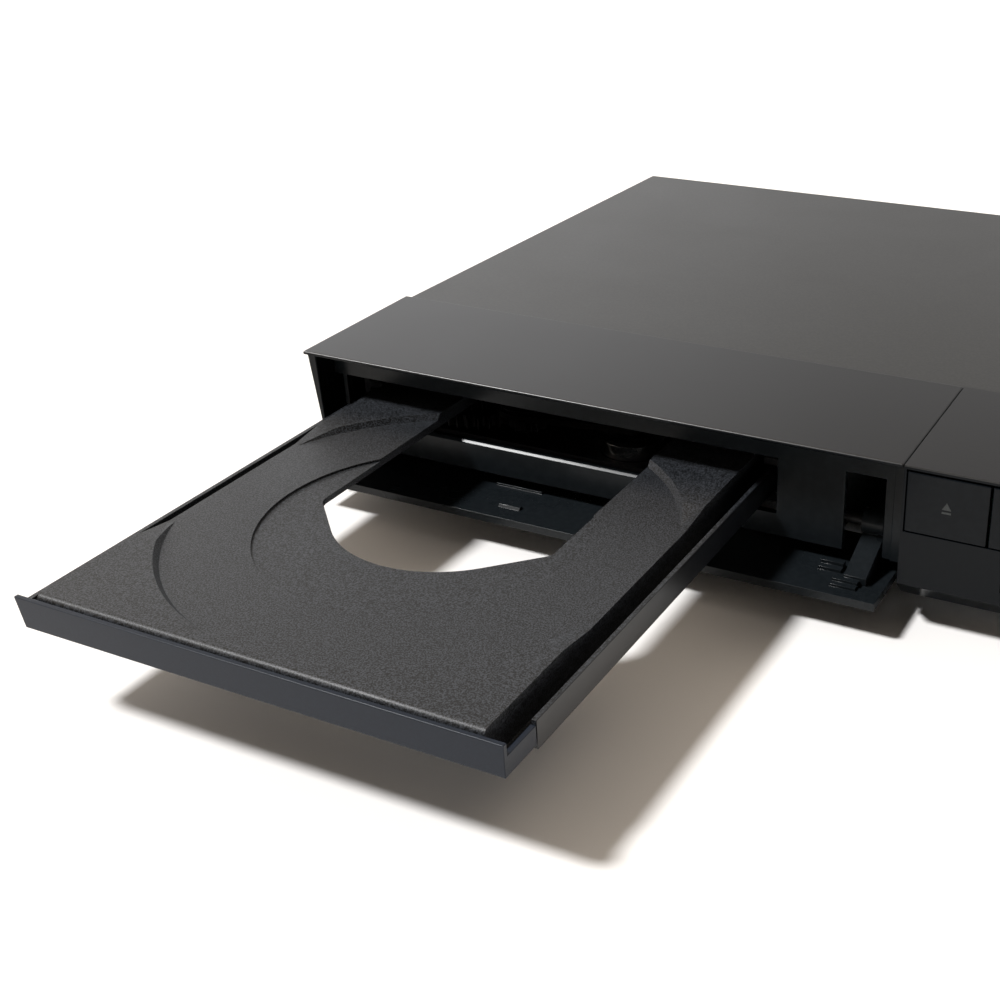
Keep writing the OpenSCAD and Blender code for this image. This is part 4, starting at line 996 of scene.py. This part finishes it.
@dataclass
class Contacts(Fittings):
    """Gilt contacts in the data, network and picture sockets, and the picture socket's tongue."""

    contact_edge: float = 0.05
    usb: Point = (0.9, 8.0, 0.3)
    usb_x: tuple[float, ...] = (-3.5, -1.0, 1.0, 3.5)
    usb_in: float = 0.8
    lan: Point = (0.5, 8.0, 0.3)
    lan_n: int = 8
    lan_pitch: float = 1.02
    lan_in: float = 2.0
    lan_up: float = 3.1
    lan_outward: Point = (0.0, 0.18, 1.0)
    tongue: Point = (11.0, 8.0, 1.3)
    tongue_edge: float = 0.15
    tongue_in: float = 5.2
    tongue_up: float = 2.6
    strip: Point = (0.45, 6.0, 0.25)
    strip_edge: float = 0.04
    strip_n: int = 10
    strip_pitch: float = 1.0
    strip_in: float = 0.3
    strip_sunk: float = 0.1

    def build(self) -> None:
        """Lays the contacts in the three sockets."""
        low, high = corners("usb_tongue")
        spot = Vector(((low.x + high.x) / 2, low.y + (self.usb[1] / 2 + self.usb_in) * MM, low.z))
        self.put(self.bar("usb_model", self.usb, self.contact_edge),
                 self.row("usb_contact", spot, list(self.usb_x), (0, 0, -1)), GILT_CONTACT)
        low, high = corners("lan_socket")
        spot = Vector(((low.x + high.x) / 2, high.y - (self.lan[1] / 2 + self.lan_in) * MM,
                       low.z + self.lan_up * MM))
        self.put(self.bar("lan_model", self.lan, self.contact_edge),
                 self.row("lan_contact", spot, self.even(self.lan_n, self.lan_pitch), self.lan_outward),
                 GILT_CONTACT)
        low, high = corners("hdmi_socket")
        spot = Vector(((low.x + high.x) / 2, high.y - self.tongue_in * MM, low.z + self.tongue_up * MM))
        self.put(self.bar("tongue_model", self.tongue, self.tongue_edge), {"hdmi_tongue": (spot, UP)},
                 BLACK_BLOCK)
        spot = spot + Vector((0, -self.strip_in * MM, (self.tongue[2] - self.strip_sunk) * MM))
        self.put(self.bar("strip_model", self.strip, self.strip_edge),
                 self.row("hdmi_contact", spot, self.even(self.strip_n, self.strip_pitch), UP), GILT_CONTACT)

    def even(self, count: int, pitch: float) -> list[float]:
        """Spaces a number of pieces evenly about the middle."""
        return [(i - (count - 1) / 2) * pitch for i in range(count)]


@dataclass
class BoardParts(Fittings):
    """Memory chips, a white plug and capacitors, placed from the main board's front left corner."""

    chip: Point = (9.0, 13.0, 1.2)
    chip_edge: float = 0.12
    chip_at: Span = (24.0, 40.0)
    chip_n: int = 2
    chip_pitch: float = 20.0
    plug: Point = (14.0, 5.0, 6.0)
    plug_edge: float = 0.3
    plug_at: Span = (14.0, 90.0)
    can_r: float = 3.0
    can_foot: float = 1.2
    can_neck: float = 0.5
    can_body: float = 6.2
    can_waist: float = 0.25
    can_rim: float = 0.5
    can_dish: float = 0.2
    can_edge: float = 0.15
    can_at: Span = (62.0, 100.0)
    can_n: int = 4
    can_pitch: float = 9.0

    def build(self) -> None:
        """Puts the parts on the board."""
        chips = {f"memory_chip_{i}": (self.spot(self.chip_at[0], self.chip_at[1] + self.chip_pitch * i), UP)
                 for i in range(self.chip_n)}
        self.put(self.bar("chip_model", self.chip, self.chip_edge), chips, BLACK_BLOCK)
        plug = {"drive_plug": (self.spot(*self.plug_at), UP)}
        self.put(self.bar("plug_model", self.plug, self.plug_edge), plug, WHITE_PLUG)
        cans = {f"capacitor_{i}": (self.spot(self.can_at[0] + self.can_pitch * i, self.can_at[1]), UP)
                for i in range(self.can_n)}
        self.put(self.can("can_model"), cans, BARE_CAN)

    def spot(self, x: float, y: float) -> Vector:
        """Gives a place on the board's top, in metres."""
        low, high = corners("main_board")
        return Vector((low.x + x * MM, low.y + y * MM, high.z))

    def can(self, name: str) -> bpy.types.Object:
        """Draws a capacitor's can: a foot, a narrow neck, a body and a dished top.

        Args:
            name: The model's name.

        Returns:
            The can, standing on the origin.
        """
        made = start("cylinder", name, vertices=32, radius=self.can_r * MM, depth=self.can_foot * MM,
                     location=(0, 0, self.can_foot / 2 * MM))
        settle(made)
        for outset, rise in ((False, self.can_neck), (True, self.can_body)):
            pick_top(made)
            bpy.ops.mesh.inset(thickness=self.can_waist * MM, use_outset=outset)
            raise_faces(rise)
        pick_top(made)
        bpy.ops.mesh.inset(thickness=self.can_rim * MM)
        raise_faces(-self.can_dish)
        soften(made, self.can_edge)
        return made


@dataclass
class Studio:
    """The floor, the light and the camera of the photograph.

    Places are in metres. A way points to where a light stands. A span gives how far a ray of length 1 goes
    up, for z and the rise and fall, or back, for y, where a light starts and ends its fade.
    """

    floor_half: float = 60.0
    floor_colour: str = "#fdfbf9"
    floor_rough: float = 0.9
    fill_level: float = 0.04
    fill_colour: str = "#ffeeda"
    wall_level: float = 0.92
    wall_colour: str = "#fcfdff"
    wall_z: Span = (0.26, 0.44)
    wall_above: float = 0.1
    wall_y: Span = (-0.2, 0.4)
    window_level: float = 0.68
    window_way: Point = (-0.672, 0.672, 0.309)
    window_edge: float = 0.9
    band_level: float = 1.4
    band_rise: Span = (0.6, 0.72)
    band_fall: Span = (0.86, 0.95)
    band_y: Span = (-0.1, 0.3)
    side_level: float = 1.4
    side_way: Point = (-0.95, -0.1, 0.1)
    side_edge: float = 0.6
    sun_level: float = 3.7
    sun_angle: float = 9.0
    sun_way: Point = (-0.507, -0.285, 0.814)
    eye: Point = (0.1293, -0.3423, 0.1910)
    right: Point = (0.89244, 0.45075, -0.01953)
    down: Point = (0.1924, -0.41938, -0.88719)
    sensor: float = 36.0
    lens: float = 52.387
    shift: float = -0.1394
    clip: Span = (0.01, 100.0)

    def build(self) -> None:
        """Makes the floor, the light and the camera."""
        self.lay_floor()
        self.hang_key()
        self.light_room()
        self.place_camera()

    def lay_floor(self) -> None:
        """Lays a wide pale floor that keeps the object's shadow."""
        floor = start("plane", "studio_floor", size=2 * self.floor_half)
        # Matt paper: no gloss, and no grain that would show in the white
        paint(floor, Moulded("studio_paper", self.floor_colour, self.floor_rough, speck_and_glint=self.floor_colour,
                             depth_mm=0.0))

    def hang_key(self) -> None:
        """Hangs the key light, which throws the soft-edged shadow."""
        lamp = bpy.data.lights.new("key", "SUN")
        lamp.energy = self.sun_level
        lamp.angle = math.radians(self.sun_angle)
        key = bpy.data.objects.new("key", lamp)
        bpy.context.scene.collection.objects.link(key)
        key.rotation_mode = "QUATERNION"
        key.rotation_quaternion = Vector(self.sun_way).to_track_quat("Z", "Y")

    def light_room(self) -> None:
        """Lights the room: a cool wall and window behind, a warm band above, a warm side and a faint fill."""
        world = bpy.data.worlds.new("studio_room")
        world.use_nodes = True
        bpy.context.scene.world = world
        tree = world.node_tree
        tree.nodes.clear()
        way = add(tree, "TexCoord").outputs["Generated"]
        split = add(tree, "SeparateXYZ", {0: way})
        height, depth = split.outputs["Z"], split.outputs["Y"]
        fades = ((height, self.wall_z, (1.0, self.wall_above)), (depth, self.wall_y, (0.0, self.wall_level)),
                 (height, self.band_rise, (0.0, 1.0)), (height, self.band_fall, (self.band_level, 0.0)),
                 (depth, self.band_y, (0.0, 1.0)))
        low, behind, rise, fall, rear = [
            add(tree, "MapRange", {"Value": source}, From_Min=span[0], From_Max=span[1], To_Min=ends[0],
                To_Max=ends[1]).outputs["Result"] for source, span, ends in fades]
        wall = add(tree, "Math", {0: low, 1: behind}, operation="MULTIPLY")
        window = self.lobe(tree, way, self.window_way, self.window_edge, self.window_level)
        cool = add(tree, "Math", {0: wall.outputs[0], 1: window}, operation="ADD")
        high = add(tree, "Math", {0: rise, 1: fall}, operation="MULTIPLY")
        band = add(tree, "Math", {0: high.outputs[0], 1: rear}, operation="MULTIPLY")
        side = self.lobe(tree, way, self.side_way, self.side_edge, self.side_level)
        both = add(tree, "Math", {0: band.outputs[0], 1: side}, operation="ADD")
        warm = add(tree, "Math", {0: both.outputs[0], 1: self.fill_level}, operation="ADD")
        far = add(tree, "Background", {"Strength": cool.outputs[0]}, Color=linear(self.wall_colour))
        near = add(tree, "Background", {"Strength": warm.outputs[0]}, Color=linear(self.fill_colour))
        room = add(tree, "AddShader", {0: far.outputs[0], 1: near.outputs[0]})
        add(tree, "OutputWorld", {"Surface": room.outputs[0]})

    def lobe(self, tree: bpy.types.NodeTree, way: Any, toward: Point, edge: float, level: float) -> Any:
        """Makes a soft round light in the sky.

        Args:
            tree: The world's nodes.
            way: The output that gives each ray's direction.
            toward: Where the light stands.
            edge: The cosine of the angle from its middle at which it has faded out.
            level: Its strength in the middle.

        Returns:
            The output that gives its strength.
        """
        near = add(tree, "VectorMath", {0: way, 1: Vector(toward).normalized()}, operation="DOT_PRODUCT")
        return add(tree, "MapRange", {"Value": near.outputs["Value"]}, From_Min=edge, From_Max=1.0,
                   To_Min=0.0, To_Max=level).outputs["Result"]

    def place_camera(self) -> None:
        """Puts the camera where the photograph was taken from."""
        scene = bpy.context.scene
        data = bpy.data.cameras.new("camera")
        data.sensor_width = self.sensor
        data.lens = self.lens
        data.shift_x = self.shift
        data.clip_start, data.clip_end = self.clip
        camera = bpy.data.objects.new("camera", data)
        scene.collection.objects.link(camera)
        side, up = Vector(self.right).normalized(), -Vector(self.down).normalized()
        turn = Matrix((side, up, side.cross(up))).transposed().to_4x4()
        camera.matrix_world = Matrix.Translation(self.eye) @ turn
        scene.camera = camera
        scene.view_settings.view_transform = "Standard"


def main() -> None:
    """Builds the dressed player in its studio."""
    logging.basicConfig(level=logging.INFO, format="%(message)s")
    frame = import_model()
    nodes = frame["nodes"]
    for part in (Casing(nodes), DiscBay(nodes), DiscDrive(nodes), Controls(nodes), Electronics(nodes)):
        part.dress()
    for fittings in (Screws(), Signs(), Contacts(), BoardParts()):
        fittings.build()
    Studio().build()
    bpy.context.view_layer.update()


if __name__ == "__main__":
    main()
